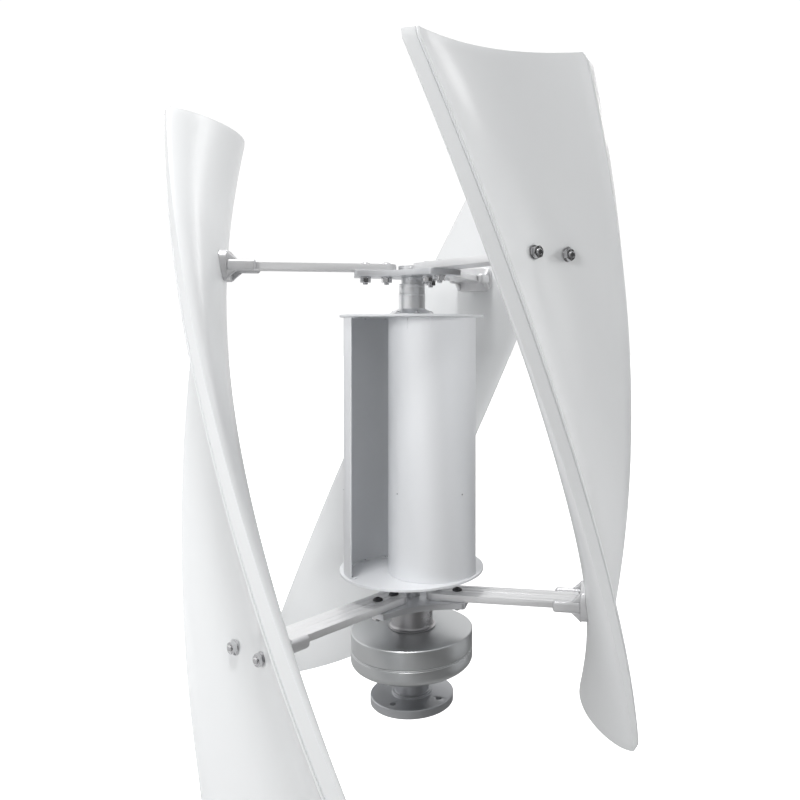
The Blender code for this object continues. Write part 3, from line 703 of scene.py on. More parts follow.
@dataclass
class Blades:
    """The three moulded blades."""

    form: BladeForm = field(default_factory=BladeForm)
    stations: int = 110
    face_steps: int = 22
    side_steps: int = 48
    edge_round: float = 0.0055
    corner_round: float = 0.004
    seat_radius: float = 0.0125

    def loft(self, name: str, grow: float = 0.0) -> bpy.types.Object:
        """The first blade as a closed loft, from a tall cylinder cut into stations.

        Args:
            name: the piece's name.
            grow: how far the whole section is moved towards the axis.

        Returns:
            The blade.
        """
        outline = self.form.section(self.face_steps, self.side_steps)
        count = len(outline)
        bpy.ops.object.select_all(action="DESELECT")
        bpy.ops.mesh.primitive_cylinder_add(vertices=count, radius=1.0, depth=1.0, end_fill_type="NGON")
        obj = bpy.context.object
        obj.name = name
        obj.data.name = name
        Bench.edit(obj, "EDGE")
        Bench.select_edges(obj, lambda a, b: abs(a.z - b.z) > 0.5)
        bpy.ops.mesh.subdivide(number_cuts=self.stations - 1)
        Bench.done()
        first = obj.data.vertices[0].co
        start = math.atan2(first.y, first.x)
        for vert in obj.data.vertices:
            turn = (math.atan2(vert.co.y, vert.co.x) - start) / math.tau * count
            across, out = outline[round(turn) % count]
            z = self.form.bottom + (self.form.top - self.form.bottom) * (vert.co.z + 0.5)
            place = Vector((out + self.form.swell(z) - grow, across * self._narrowing(z), z))
            vert.co = outward(self.form.azimuth(z)) @ place
        Bench.clean(obj)
        return obj

    def _narrowing(self, z: float) -> float:
        """How much narrower the blade is near its ends, which gives its corners their large rounding."""
        inside = max(0.0, self.corner_round - min(self.form.top - z, z - self.form.bottom))
        cut = self.corner_round - math.sqrt(self.corner_round ** 2 - inside ** 2)
        return 1.0 - cut / self.form.nose_half_chord

    def build(self, seats: Sequence[tuple[Vector, Vector]]) -> None:
        """Make the first blade with its stud seats, and copy it.

        Args:
            seats: for each stud of the first blade, the seat's middle and the direction outwards.
        """
        blade = self.loft("blade_first")
        Bench.bevel(blade, self.edge_round, 4, 62.0)
        faces = [Bench.rod(middle, middle + axis * 0.02, self.seat_radius, 40) for middle, axis in seats]
        Bench.drill(blade, faces)
        holes = [Bench.rod(middle - axis * 0.06, middle + axis * 0.01, STUD_HOLE, 20) for middle, axis in seats]
        Bench.drill(blade, holes)
        Bench.smooth(blade, math.radians(28.0))
        thrice(blade, "moulded_blade", Matrix(), GELCOAT, "blade")


# ---- small hardware ----
@dataclass
class Hardware:
    """Bolts, nuts, washers and rivets, drawn along +Z from their seat at z = 0."""

    hex_radius: float = 0.0098
    nut_height: float = 0.0080
    washer_radius: float = 0.0105
    washer_height: float = 0.0018
    thread_radius: float = 0.0048
    pitch: float = 0.0015

    def nut(self, name: str) -> bpy.types.Object:
        """A hexagon nut with chamfered corners."""
        bpy.ops.object.select_all(action="DESELECT")
        bpy.ops.mesh.primitive_cylinder_add(vertices=6, radius=self.hex_radius, depth=self.nut_height,
                                            location=(0, 0, self.nut_height / 2))
        nut = bpy.context.object
        nut.name = name
        Bench.settle(nut)
        high = self.nut_height
        chamfer = 0.0011
        barrel = [(0.0, 0.0), (self.hex_radius - chamfer, 0.0), (self.hex_radius, chamfer * 0.6),
                  (self.hex_radius, high - chamfer * 0.6), (self.hex_radius - chamfer, high), (0.0, high)]
        Bench.solid(nut, Bench.turned("barrel", barrel, 36), "INTERSECT")
        return nut

    def washer(self, name: str) -> bpy.types.Object:
        """A flat washer with rounded edges."""
        high = self.washer_height
        ring = [(self.thread_radius, 0.0), (self.washer_radius, 0.0), (self.washer_radius, high),
                (self.thread_radius, high)]
        return Bench.turned(name, ring, 40, 0.0003)

    def thread(self, name: str, bottom: float, top: float) -> bpy.types.Object:
        """A threaded end: rings of a thread's profile with a chamfered tip."""
        profile = [(0.0, bottom)]
        z = bottom
        while z < top - 0.0012:
            profile += [(self.thread_radius, z), (self.thread_radius - 0.0006, z + self.pitch / 2)]
            z += self.pitch
        profile += [(self.thread_radius, top - 0.0010), (self.thread_radius - 0.0012, top), (0.0, top)]
        return Bench.turned(name, profile, 20)

    def stud_set(self, name: str, back: float, front: float) -> bpy.types.Object:
        """A stud with its washer and nut on the seat at z = 0."""
        nut = self.nut("nut")
        nut.data.transform(Matrix.Translation((0, 0, self.washer_height)))
        parts = [self.washer("washer"), nut, self.thread("stud", back, front)]
        return Bench.merge(parts, name)

    def button_screw(self, name: str, radius: float = 0.0088, height: float = 0.0046) -> bpy.types.Object:
        """A round-headed screw with a hexagon socket."""
        profile = [(0.0, 0.0), (radius, 0.0), (radius, 0.0008)]
        profile += [(radius * math.cos(a), 0.0008 + (height - 0.0008) * math.sin(a))
                    for a in (math.radians(15 * i) for i in range(1, 5))]
        profile += [(radius * 0.45, height), (0.0, height)]
        head = Bench.turned(name, profile, 32)
        socket = Bench.rod((0, 0, height * 0.35), (0, 0, height + 0.002), radius * 0.36, 6)
        return Bench.solid(head, socket, "DIFFERENCE")

    def rivet(self, name: str, radius: float = 0.0022, height: float = 0.0010) -> bpy.types.Object:
        """A low domed rivet head with its small hole."""
        profile = [(0.0, 0.0), (radius, 0.0), (radius * 0.92, height * 0.55), (radius * 0.6, height),
                   (radius * 0.32, height), (radius * 0.26, height * 0.45), (0.0, height * 0.45)]
        return Bench.turned(name, profile, 16)


# ---- arms, brackets and hub ----
@dataclass
class ArmSet:
    """One level of arms with the brackets and studs at their ends and the hub plate that carries them."""

    level: str
    blades: Blades
    hardware: Hardware
    width: float = 0.054
    inner: float = 0.029
    corner: float = 0.020
    groove_depth: float = 0.0005
    plate_gap: float = 0.0085
    finger_length: float = 0.0475
    finger_width: float = 0.012
    finger_height: float = 0.020
    gap: float = 0.0003
    bolt_radii: tuple[float, float] = (0.046, 0.084)
    saddle_half_width: float = 0.0405
    saddle_half_height: float = 0.0265
    saddle_corner: float = 0.016
    rib_half: float = 0.0045

    def __post_init__(self) -> None:
        """Read the level's heights from the CAD model."""
        low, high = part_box(f"{self.level}_arm_a")
        self.bottom = low.z
        self.top = high.z
        self.middle = (low.z + high.z) / 2
        self.azimuth = self.blades.form.azimuth(self.middle)
        swell = self.blades.form.swell(self.middle)
        self.plane = self.blades.form.inner_middle + swell - self.plate_gap
        self.seat = self.blades.form.outer_middle + swell + 0.0020
        self.stud_side = (self.width + self.finger_width + 2 * self.gap) / 2

    def stud_seats(self) -> list[tuple[Vector, Vector]]:
        """The first blade's stud seats at this level, and their direction outwards."""
        turn = outward(self.azimuth)
        axis = (turn @ Vector((1, 0, 0))).normalized()
        return [(turn @ Vector((self.seat, side * self.stud_side, self.middle)), axis) for side in (-1, 1)]

    def build(self) -> None:
        """Make this level's pieces."""
        self._arms()
        self._brackets()
        self._studs()
        self._plate()
        self._bolts()

    def _arms(self) -> None:
        """Grooved flat bars with round-cornered inner ends."""
        half = self.width / 2
        deep = self.groove_depth
        ridge = []
        for centre in (-0.014, 0.0, 0.014):
            reach = 0.0022 if centre else 0.0008
            ridge += [(centre - reach, 0.0), (centre - reach * 0.6, deep), (centre + reach * 0.6, deep),
                      (centre + reach, 0.0)]
        section = [(-half, self.bottom)] + [(y, self.bottom + d) for y, d in ridge] + [(half, self.bottom)]
        section += [(half, self.top)] + [(y, self.top - d) for y, d in reversed(ridge)] + [(-half, self.top)]
        end = self.plane - 0.0045
        bar = Bench.extrude("arm_first", [(self.inner, y, z) for y, z in section], (end - self.inner, 0.0, 0.0))
        corner = [(self.inner + self.corner * (1 - math.cos(a)), half - self.corner * (1 - math.sin(a)))
                  for a in (math.radians(9 * i) for i in range(11))]
        blank = [(x, -y) for x, y in reversed(corner)] + corner + [(end + 0.01, half), (end + 0.01, -half)]
        Bench.solid(bar, Bench.plate("blank", blank, self.bottom - 0.001, self.top + 0.001), "INTERSECT")
        holes = [Bench.rod((r, 0, self.bottom - 0.01), (r, 0, self.top + 0.01), SCREW_HOLE, 24)
                 for r in self.bolt_radii]
        Bench.drill(bar, holes)
        Bench.bevel(bar, 0.0005, 2, 40.0)
        Bench.along_uv(bar)
        Bench.smooth(bar)
        thrice(bar, f"{self.level}_drawn_arm", outward(self.azimuth), BAR_ALUMINIUM, f"{self.level}_arm")

    def _brackets(self) -> None:
        """End brackets: a saddle on the blade, two fingers that grip the arm, and webs."""
        z = self.middle
        body = self._saddle()
        half = self.width / 2 + self.gap
        reach = self.plane + 0.002
        for side in (-1, 1):
            near, far = side * half, side * (half + self.finger_width)
            low = (self.plane - self.finger_length, min(near, far), z - self.finger_height / 2)
            high = (reach, max(near, far), z + self.finger_height / 2)
            Bench.solid(body, Bench.bar(low, high, 0.0056, 6), "UNION")
            across = side * (half + self.finger_width / 2)
            for way in (-1, 1):
                root = z + way * (self.finger_height / 2 - 0.002)
                tip = z + way * self.saddle_half_height
                web = [(reach, -root), (reach - 0.020, -root), (reach - 0.008, -(root * 0.45 + tip * 0.55)),
                       (reach, -tip)]
                rib = Bench.plate("rib", web, across - self.rib_half, across + self.rib_half, 0.0030, 4)
                rib.data.transform(Matrix.Rotation(-math.pi / 2, 4, "X"))
                Bench.solid(body, rib, "UNION")
        turn = outward(self.azimuth)
        body.data.transform(turn)
        Bench.solid(body, self.blades.loft("blade_copy", 0.0004), "DIFFERENCE")
        body.data.transform(turn.inverted())
        holes = [Bench.rod((self.plane - 0.034, side * self.stud_side, z),
                           (self.plane + 0.05, side * self.stud_side, z), BRACKET_HOLE, 24) for side in (-1, 1)]
        Bench.drill(body, holes)
        Bench.smooth(body)
        thrice(body, f"{self.level}_cast_bracket", turn, CAST_BRACKET, f"{self.level}_bracket")

    def _saddle(self) -> bpy.types.Object:
        """The bracket's saddle before the blade's face is cut from it: a plate with large round corners."""
        corner = self.saddle_corner
        outline = []
        for number, (side, way) in enumerate(((1, 1), (-1, 1), (-1, -1), (1, -1))):
            for step in range(7):
                turn = math.radians(90 * number + 15 * step)
                outline.append((side * (self.saddle_half_width - corner) + corner * math.cos(turn),
                                way * (self.saddle_half_height - corner) + corner * math.sin(turn)))
        saddle = Bench.plate("saddle", outline, 0.0, 0.028, 0.0020, 4)
        saddle.data.transform(Matrix(((0, 0, 1, self.plane), (1, 0, 0, 0), (0, 1, 0, self.middle), (0, 0, 0, 1))))
        return saddle

    def _studs(self) -> None:
        """Studs with their washers and nuts on the blades' outer faces."""
        back = self.plane - 0.0335 - self.seat
        first = self.hardware.stud_set("stud_first", back, 0.0125)
        Bench.smooth(first)
        lie = Matrix.Rotation(math.pi / 2, 4, "Y")
        for number, tag in enumerate(TAGS):
            for index, side in enumerate((-1, 1), 1):
                place = Matrix.Translation((self.seat + self.gap, side * self.stud_side, self.middle))
                spin = Matrix.Rotation(math.radians(17.0 * index + 9.0 * number), 4, "Z")
                matrix = around(number) @ outward(self.azimuth) @ place @ lie @ spin
                piece = Bench.copy(first, f"{self.level}_stud_{tag}_{index}", matrix)
                Bench.finish(piece, STAINLESS, ROTOR, [f"{self.level}_blade_stud_{tag}_{index}"])
        Bench.drop(first)

    def _plate(self) -> None:
        """The hub plate: three legs joined by hollow arcs."""
        node = f"{self.level}_hub_plate"
        low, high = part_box(node)
        reach, half, waist, corner = 0.104, 0.034, 0.063, 0.006
        corner_radius = math.hypot(reach, half)
        corner_angle = math.degrees(math.atan2(half, reach))
        span = math.radians(STEP / 2 - corner_angle)
        x, y = corner_radius * math.cos(span), corner_radius * math.sin(span)
        centre = (x * x + y * y - waist ** 2) / (2 * (x - waist))
        radius = centre - waist
        sweep = math.degrees(math.atan2(y, centre - x))
        outline: list[Point2] = []
        for leg in range(len(TAGS)):
            azimuth = self.azimuth + leg * STEP
            across = outward(azimuth)
            for side, start in ((-1, -90), (1, 0)):
                for step in range(6):
                    turn = math.radians(start + 18 * step)
                    spot = across @ Vector((reach - corner * (1 - math.cos(turn)),
                                            side * (half - corner) + corner * math.sin(turn), 0.0))
                    outline.append((spot.x, spot.y))
            middle = azimuth + STEP / 2
            for part in range(2, 23):
                swing = math.radians(sweep - 2 * sweep * part / 24)
                out = centre - radius * math.cos(swing)
                side_way = radius * math.sin(swing)
                spot = polar(math.hypot(out, side_way), middle - math.degrees(math.atan2(side_way, out)))
                outline.append((spot.x, spot.y))
        plate = Bench.plate(f"{self.level}_bright_plate", outline, low.z, high.z)
        holes = [Bench.rod((0, 0, low.z - 0.01), (0, 0, high.z + 0.01), 0.0147, 48)]
        for leg in range(len(TAGS)):
            for hole in self.bolt_radii:
                spot = polar(hole, self.azimuth + leg * STEP)
                holes.append(Bench.rod((*spot.xy, low.z - 0.01), (*spot.xy, high.z + 0.01), SCREW_HOLE, 24))
        Bench.drill(plate, holes)
        Bench.bevel(plate, 0.0011, 3, 40.0)
        Bench.along_uv(plate)
        Bench.smooth(plate)
        Bench.finish(plate, PLATE_STEEL, ROTOR, [node])

    def _bolts(self) -> None:
        """Round-headed screws through arm and plate, with nuts underneath."""
        plate_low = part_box(f"{self.level}_hub_plate")[0].z
        screw = self.hardware.button_screw("screw_first")
        Bench.smooth(screw)
        washer = self.hardware.washer("nut_washer")
        nut = self.hardware.nut("nut_first")
        nut.data.transform(Matrix.Translation((0, 0, self.hardware.washer_height)))
        tip = self.hardware.thread("thread", -0.0005, 0.0135)
        nut = Bench.merge([washer, nut, tip], "nut_set")
        Bench.smooth(nut)
        shank_top = self.top - plate_low
        for number, tag in enumerate(TAGS):
            for index, radius in enumerate(self.bolt_radii, 1):
                spot = polar(radius, self.azimuth + number * STEP)
                turn = Matrix.Rotation(math.radians(23.0 * index + 31.0 * number), 4, "Z")
                above = Matrix.Translation((spot.x, spot.y, self.top + 0.0001)) @ turn
                name = f"{self.level}_hub_screw_{tag}_{index}"
                shank = Bench.rod((*spot.xy, self.top - shank_top), (*spot.xy, self.top + 0.0004),
                                  self.hardware.thread_radius, 20)
                head = Bench.merge([Bench.copy(screw, name, above), shank], name)
                # The lower level's screws take the darker copy of stainless as painted shade under the lower disc; the
                # upper level's stay plain stainless.
                Bench.finish(head, SHADED_STAINLESS if self.level == "lower" else STAINLESS, ROTOR)
                flip = Matrix.Rotation(math.pi, 4, "X")
                below = Matrix.Translation((spot.x, spot.y, plate_low - 0.0001)) @ turn @ flip
                under = Bench.copy(nut, f"{self.level}_hub_nut_{tag}_{index}", below)
                Bench.finish(under, STAINLESS, ROTOR)
        Bench.drop(screw, nut)


# ---- scoop rotor ----
@dataclass
class ScoopRotor:
    """Two discs with three sheet scoops between them."""

    hardware: Hardware
    centre_radius: float = 0.0457
    centre_azimuth: float = 61.2
    radius: float = 0.080
    wall: float = 0.0015
    start: float = -92.0
    stop: float = 73.0
    steps: int = 64
    tab_depth: float = 0.011
    tab_spread: float = 9.0
    lip: float = 0.0042
    fold_height: float = 0.020
    foot_height: float = 0.0013
    foot_azimuths: tuple[float, ...] = (-78.0, -48.0, -16.0, 16.0, 46.0, 66.0)

    def build(self) -> None:
        """Make the discs, the scoops and their rivets."""
        self._discs()
        first = self._vane()
        rivets = self._rivets()
        for number in range(len(TAGS)):
            turn = Matrix.Rotation(math.radians(-number * STEP), 4, "Z")
            vane = Bench.copy(first, f"folded_scoop_{number + 1}", turn)
            Bench.finish(vane, SHEET_WHITE, ROTOR, [f"scoop_vane_{number + 1}"])
            heads = Bench.copy(rivets, f"scoop_rivets_{number + 1}", turn)
            Bench.finish(heads, STAINLESS, ROTOR)
        Bench.drop(first, rivets)

    def _discs(self) -> None:
        """End discs with a short folded rim, away from the scoops."""
        for level, way in (("lower", -1), ("upper", 1)):
            node = f"{level}_scoop_disc"
            low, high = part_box(node)
            edge = high.x
            near, far = (high.z, low.z) if way < 0 else (low.z, high.z)
            tip = near + way * self.lip
            profile = [(SHAFT_BORE, near), (edge - 0.0012, near), (edge - 0.0003, near + way * 0.0004),
                       (edge, near + way * 0.0013), (edge, tip), (edge - 0.0016, tip),
                       (edge - 0.0017, far + way * 0.0004), (edge - 0.0026, far), (SHAFT_BORE, far)]
            disc = Bench.turned(f"{level}_rimmed_disc", profile, 144)
            Bench.finish(disc, SHEET_WHITE, ROTOR, [node])

    def _point(self, radius: float, azimuth: float, z: float) -> Vector:
        """A point of the first scoop from its own centre."""
        return polar(self.centre_radius, self.centre_azimuth) + polar(radius, azimuth, z)

    def _vane(self) -> bpy.types.Object:
        """The first scoop: a rolled sheet with folded feet, lightly chamfered edges and pressed fold marks.

        Returns:
            The scoop.
        """
        low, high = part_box("scoop_vane_1")
        azimuths = [self.start + (self.stop - self.start) * step / self.steps for step in range(self.steps + 1)]
        sides = [(self.radius, azimuths), (self.radius - self.wall, azimuths[::-1])]
        extras = [self._strip("scoop_first", sides, (low.z, high.z), 0.0003, 1)]
        for azimuth in self.foot_azimuths:
            for foot, way in ((low.z, 1), (high.z, -1)):
                extras.append(self._tab(azimuth, foot, way))
        for azimuth in (-30.0, 1.0):
            extras.append(self._fold_mark(azimuth, high.z, -1))
        sheet = Bench.merge(extras, "scoop_first")
        Bench.smooth(sheet)
        return sheet

    def _strip(self, name: str, sides: Sequence[tuple[float, Sequence[float]]], ends: Point2, bevel: float,
               segments: int) -> bpy.types.Object:
        """A plate whose sides follow the sheet.

        Args:
            name: the piece's name.
            sides: for each side in turn, its distance from the scoop's centre and its azimuths.
            ends: the two heights between which it stands.
            bevel: width of the rounding of its edges.
            segments: steps of that rounding.

        Returns:
            The plate.
        """
        spots = [self._point(radius, azimuth, 0.0) for radius, azimuths in sides for azimuth in azimuths]
        bottom, top = sorted(ends)
        return Bench.plate(name, [(spot.x, spot.y) for spot in spots], bottom, top, bevel, segments)

    def _tab(self, azimuth: float, foot: float, way: int) -> bpy.types.Object:
        """A foot folded inwards from the sheet, flat on its disc."""
        inner = self.radius - self.wall
        near, far = ([azimuth + self.tab_spread * (step / 2.0 - 1.0) * share for step in range(5)]
                     for share in (1.0, 0.86))
        return self._strip("tab", [(inner, near), (inner - self.tab_depth, far[::-1])],
                           (foot, foot + way * self.foot_height), 0.0003, 1)

    def _fold_mark(self, azimuth: float, foot: float, way: int) -> bpy.types.Object:
        """A narrow pressed ridge on the outer side, where the sheet starts to fold."""
        spread = math.degrees(0.0007 / self.radius)
        both = (azimuth - spread, azimuth + spread)
        return self._strip("fold", [(self.radius + 0.0006, both), (self.radius - 0.0004, both[::-1])],
                           (foot, foot + way * self.fold_height), 0.0004, 2)

    def _rivets(self) -> bpy.types.Object:
        """The rivet heads of the first scoop, in its feet and in its sheet.

        Returns:
            All its rivet heads in one piece.
        """
        low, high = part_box("scoop_vane_1")
        heads = []
        first = self.hardware.rivet("rivet")
        middle = self.radius - self.wall - self.tab_depth * 0.55
        for azimuth in self.foot_azimuths:
            for foot, way in ((low.z + self.foot_height, 0.0), (high.z - self.foot_height, math.pi)):
                place = Matrix.Translation(self._point(middle, azimuth, foot)) @ Matrix.Rotation(way, 4, "X")
                heads.append(Bench.copy(first, "rivet_foot", place))
        lie = Matrix.Rotation(math.pi / 2, 4, "Y")
        for azimuth in (-47.0, 42.0):
            spot = self._point(self.radius, azimuth, low.z + (high.z - low.z) * 0.325)
            small = Matrix.Scale(0.62, 4)
            heads.append(Bench.copy(first, "rivet_sheet", Matrix.Translation(spot) @ outward(azimuth) @ lie @ small))
        Bench.drop(first)
        piece = Bench.merge(heads, "rivets_first")
        Bench.smooth(piece)
        return piece


# ---- shaft and collars ----
@dataclass
class ShaftStack:
    """The shaft, the collars on it and the boss on top."""

    hardware: Hardware

    def build(self) -> None:
        """Make the stack from the heights of the CAD nodes."""
        low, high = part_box("main_shaft")
        edge = high.x
        shaft = [(0.0, low.z), (edge, low.z), (edge, high.z - 0.0012), (edge - 0.0012, high.z),
                 (0.0045, high.z), (0.0035, high.z - 0.0012), (0.0, high.z - 0.0030)]
        Bench.finish(Bench.turned("ground_shaft", shaft, 64), MACHINED, ROTOR, ["main_shaft"])
        self._collar()
        self._ring("lock_ring", "split_lock_ring", 0.0010)
        self._ring("shaft_spacer", "turned_spacer", 0.0006)
        self._ring("top_boss", "turned_boss", 0.0012)

    def _ring(self, node: str, name: str, bevel: float) -> None:
        """A turned ring with rounded edges and one shallow groove."""
        low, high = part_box(node)
        edge = high.x
        z = high.z - (high.z - low.z) * 0.30
        profile = [(SHAFT_BORE, low.z), (edge, low.z), (edge, z - 0.0004), (edge - 0.0004, z), (edge, z + 0.0004),
                   (edge, high.z), (SHAFT_BORE, high.z)]
        Bench.finish(Bench.turned(name, profile, 64, bevel * 0.4), MACHINED, ROTOR, [node])

    def _collar(self) -> None:
        """The collar with its conical foot, bolted to the upper disc."""
        low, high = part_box("flanged_collar")
        foot = high.x
        barrel = 0.0241
        top = high.z
        flange = low.z + 0.0045
        slope = low.z + 0.0132
        profile = [(SHAFT_BORE, low.z), (foot, low.z), (foot, flange - 0.0010), (foot - 0.0010, flange),
                   (barrel + 0.0046, slope - 0.0022), (barrel, slope), (barrel, top - 0.0036),
                   (barrel - 0.0007, top - 0.0030), (barrel - 0.0007, top - 0.0022), (barrel, top - 0.0016),
                   (barrel, top), (SHAFT_BORE, top)]
        Bench.finish(Bench.turned("footed_collar", profile, 80, 0.0003), MACHINED, ROTOR, ["flanged_collar"])
        screw = self.hardware.button_screw("screw_first", 0.0048, 0.0040)
        Bench.smooth(screw)
        for number in range(6):
            azimuth = 20.0 + 60.0 * number
            tilt = outward(azimuth) @ Matrix.Rotation(math.radians(24.0), 4, "Y")
            place = Matrix.Translation(polar(foot - 0.0062, azimuth, flange + 0.0001)) @ tilt
            Bench.finish(Bench.copy(screw, f"collar_screw_{number + 1}", place), STAINLESS, ROTOR)
        Bench.drop(screw)


# ---- generator ----
@dataclass
class Generator:
    """The disc generator: two turned shells, the neck above and the standing flange below."""

    hardware: Hardware
    round_across: float = 0.045
    round_up: float = 0.020
    opening_radius: float = 0.0215
    seat_radius: float = 0.0263
    boss_radius: float = 0.034
    wall: float = 0.006
    screw_circle: float = 0.060
    bolt_circle: float = 0.058
    first_bolt: float = 60.0

    def build(self) -> None:
        """Make the shells, the neck, the flange and the screws."""
        self._lower_shell()
        self._upper_shell()
        self._neck()
        self._flange()
        self._screws()

    def _lower_shell(self) -> None:
        """The lower shell with its rounded underside."""
        low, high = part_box("lower_shell")
        edge = high.x
        top = high.z
        wall = edge - self.wall
        floor = low.z + 0.0085
        boss = low.z + 0.0185
        arc = [(edge - self.round_across * (1 - math.cos(a)), low.z + self.round_up * (1 - math.sin(a)))
               for a in (math.radians(90 - 5 * i) for i in range(19))]
        seat = low.z + 0.0032
        profile = [(self.opening_radius, low.z)] + arc
        profile += [(edge, top - 0.0034), (edge - 0.0006, top - 0.0030), (edge - 0.0006, top - 0.0022),
                    (edge, top - 0.0018), (edge, top - 0.0007), (edge - 0.0007, top), (wall, top),
                    (wall, floor + 0.010), (0.0968, floor), (self.boss_radius, floor), (self.boss_radius, boss),
                    (self.seat_radius, boss), (self.seat_radius, seat), (self.opening_radius, seat)]
        Bench.finish(Bench.turned("lower_turned_shell", profile, 128, 0.0002), TURNED_SHELL, ROTOR, ["lower_shell"])

    def _upper_shell(self) -> None:
        """The upper shell with a bright chamfer at its rim and a low crown."""
        low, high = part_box("upper_shell")
        edge = high.x
        rim = high.z - 0.0035
        ceiling = high.z - 0.0100
        wall = edge - self.wall
        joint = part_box("lower_shell")[1].z + 0.0003
        roof = high.z - 0.0067
        boss = high.z - 0.0220
        bore = 0.014
        profile = [(bore, roof), (self.seat_radius, roof), (self.seat_radius, boss), (self.boss_radius, boss),
                   (self.boss_radius, ceiling), (wall, ceiling), (wall, joint), (edge - 0.0007, joint),
                   (edge, joint + 0.0007), (edge, rim - 0.0014), (edge - 0.0014, rim), (0.047, high.z - 0.0002),
                   (0.0440, high.z), (bore, high.z)]
        Bench.finish(Bench.turned("upper_turned_shell", profile, 128, 0.0002), TURNED_SHELL, ROTOR, ["upper_shell"])

    def _neck(self) -> None:
        """The neck with a flared foot."""
        low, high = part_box("generator_neck")
        foot = high.x
        barrel = foot - 0.0055
        profile = [(SHAFT_BORE, low.z), (foot - 0.0008, low.z), (foot, low.z + 0.0008), (foot, low.z + 0.0020)]
        profile += [(barrel + 0.0050 * (1 - math.sin(a)), low.z + 0.0020 + 0.0055 * (1 - math.cos(a)))
                    for a in (math.radians(15 * i) for i in range(1, 7))]
        profile += [(barrel, high.z - 0.0008), (barrel - 0.0008, high.z), (SHAFT_BORE, high.z)]
        Bench.finish(Bench.turned("flared_neck", profile, 96, 0.0002), NECK_STEEL, ROTOR, ["generator_neck"])

    def _flange(self) -> None:
        """The standing flange with its stepped neck and four bolt holes."""
        low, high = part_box("base_flange")
        edge = high.x
        top = 0.0150
        ring = 0.0360
        ring_top = 0.0195
        neck = 0.0305
        bore, shelf, wire_hole = 0.0128, 0.0047, 0.0060
        profile = [(bore, shelf), (wire_hole, shelf), (wire_hole, 0.0), (edge - 0.0010, 0.0), (edge, 0.0010),
                   (edge, top - 0.0014), (edge - 0.0014, top), (ring + 0.0010, top), (ring, top + 0.0010),
                   (ring, ring_top - 0.0010), (ring - 0.0010, ring_top), (neck + 0.0012, ring_top),
                   (neck, ring_top + 0.0012), (neck, high.z - 0.0060), (neck - 0.0006, high.z - 0.0056),
                   (neck - 0.0006, high.z - 0.0046), (neck, high.z - 0.0042), (neck, high.z - 0.0010),
                   (neck - 0.0010, high.z), (bore, high.z)]
        flange = Bench.turned("bolting_flange", profile, 128)
        holes = []
        for number in range(4):
            spot = polar(self.bolt_circle, self.first_bolt + 90.0 * number)
            holes.append(Bench.rod((*spot.xy, -0.01), (*spot.xy, 0.03), 0.0055, 40))
        Bench.drill(flange, holes)
        Bench.bevel(flange, 0.0003, 2, 50.0)
        Bench.smooth(flange)
        Bench.finish(flange, FLANGE_STEEL, STAND, ["base_flange"])

    def _screws(self) -> None:
        """Socket screws that hold the lower shell to the upper one, round its underside."""
        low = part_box("lower_shell")[0].z
        screw = self.hardware.button_screw("screw_first", 0.0044, 0.0032)
        Bench.smooth(screw)
        for number in range(8):
            spot = polar(self.screw_circle, 22.5 + 45.0 * number)
            place = Matrix.Translation((spot.x, spot.y, low + 0.0002)) @ Matrix.Rotation(math.pi, 4, "X")
            Bench.finish(Bench.copy(screw, f"shell_screw_{number + 1}", place), STAINLESS, ROTOR)
        Bench.drop(screw)


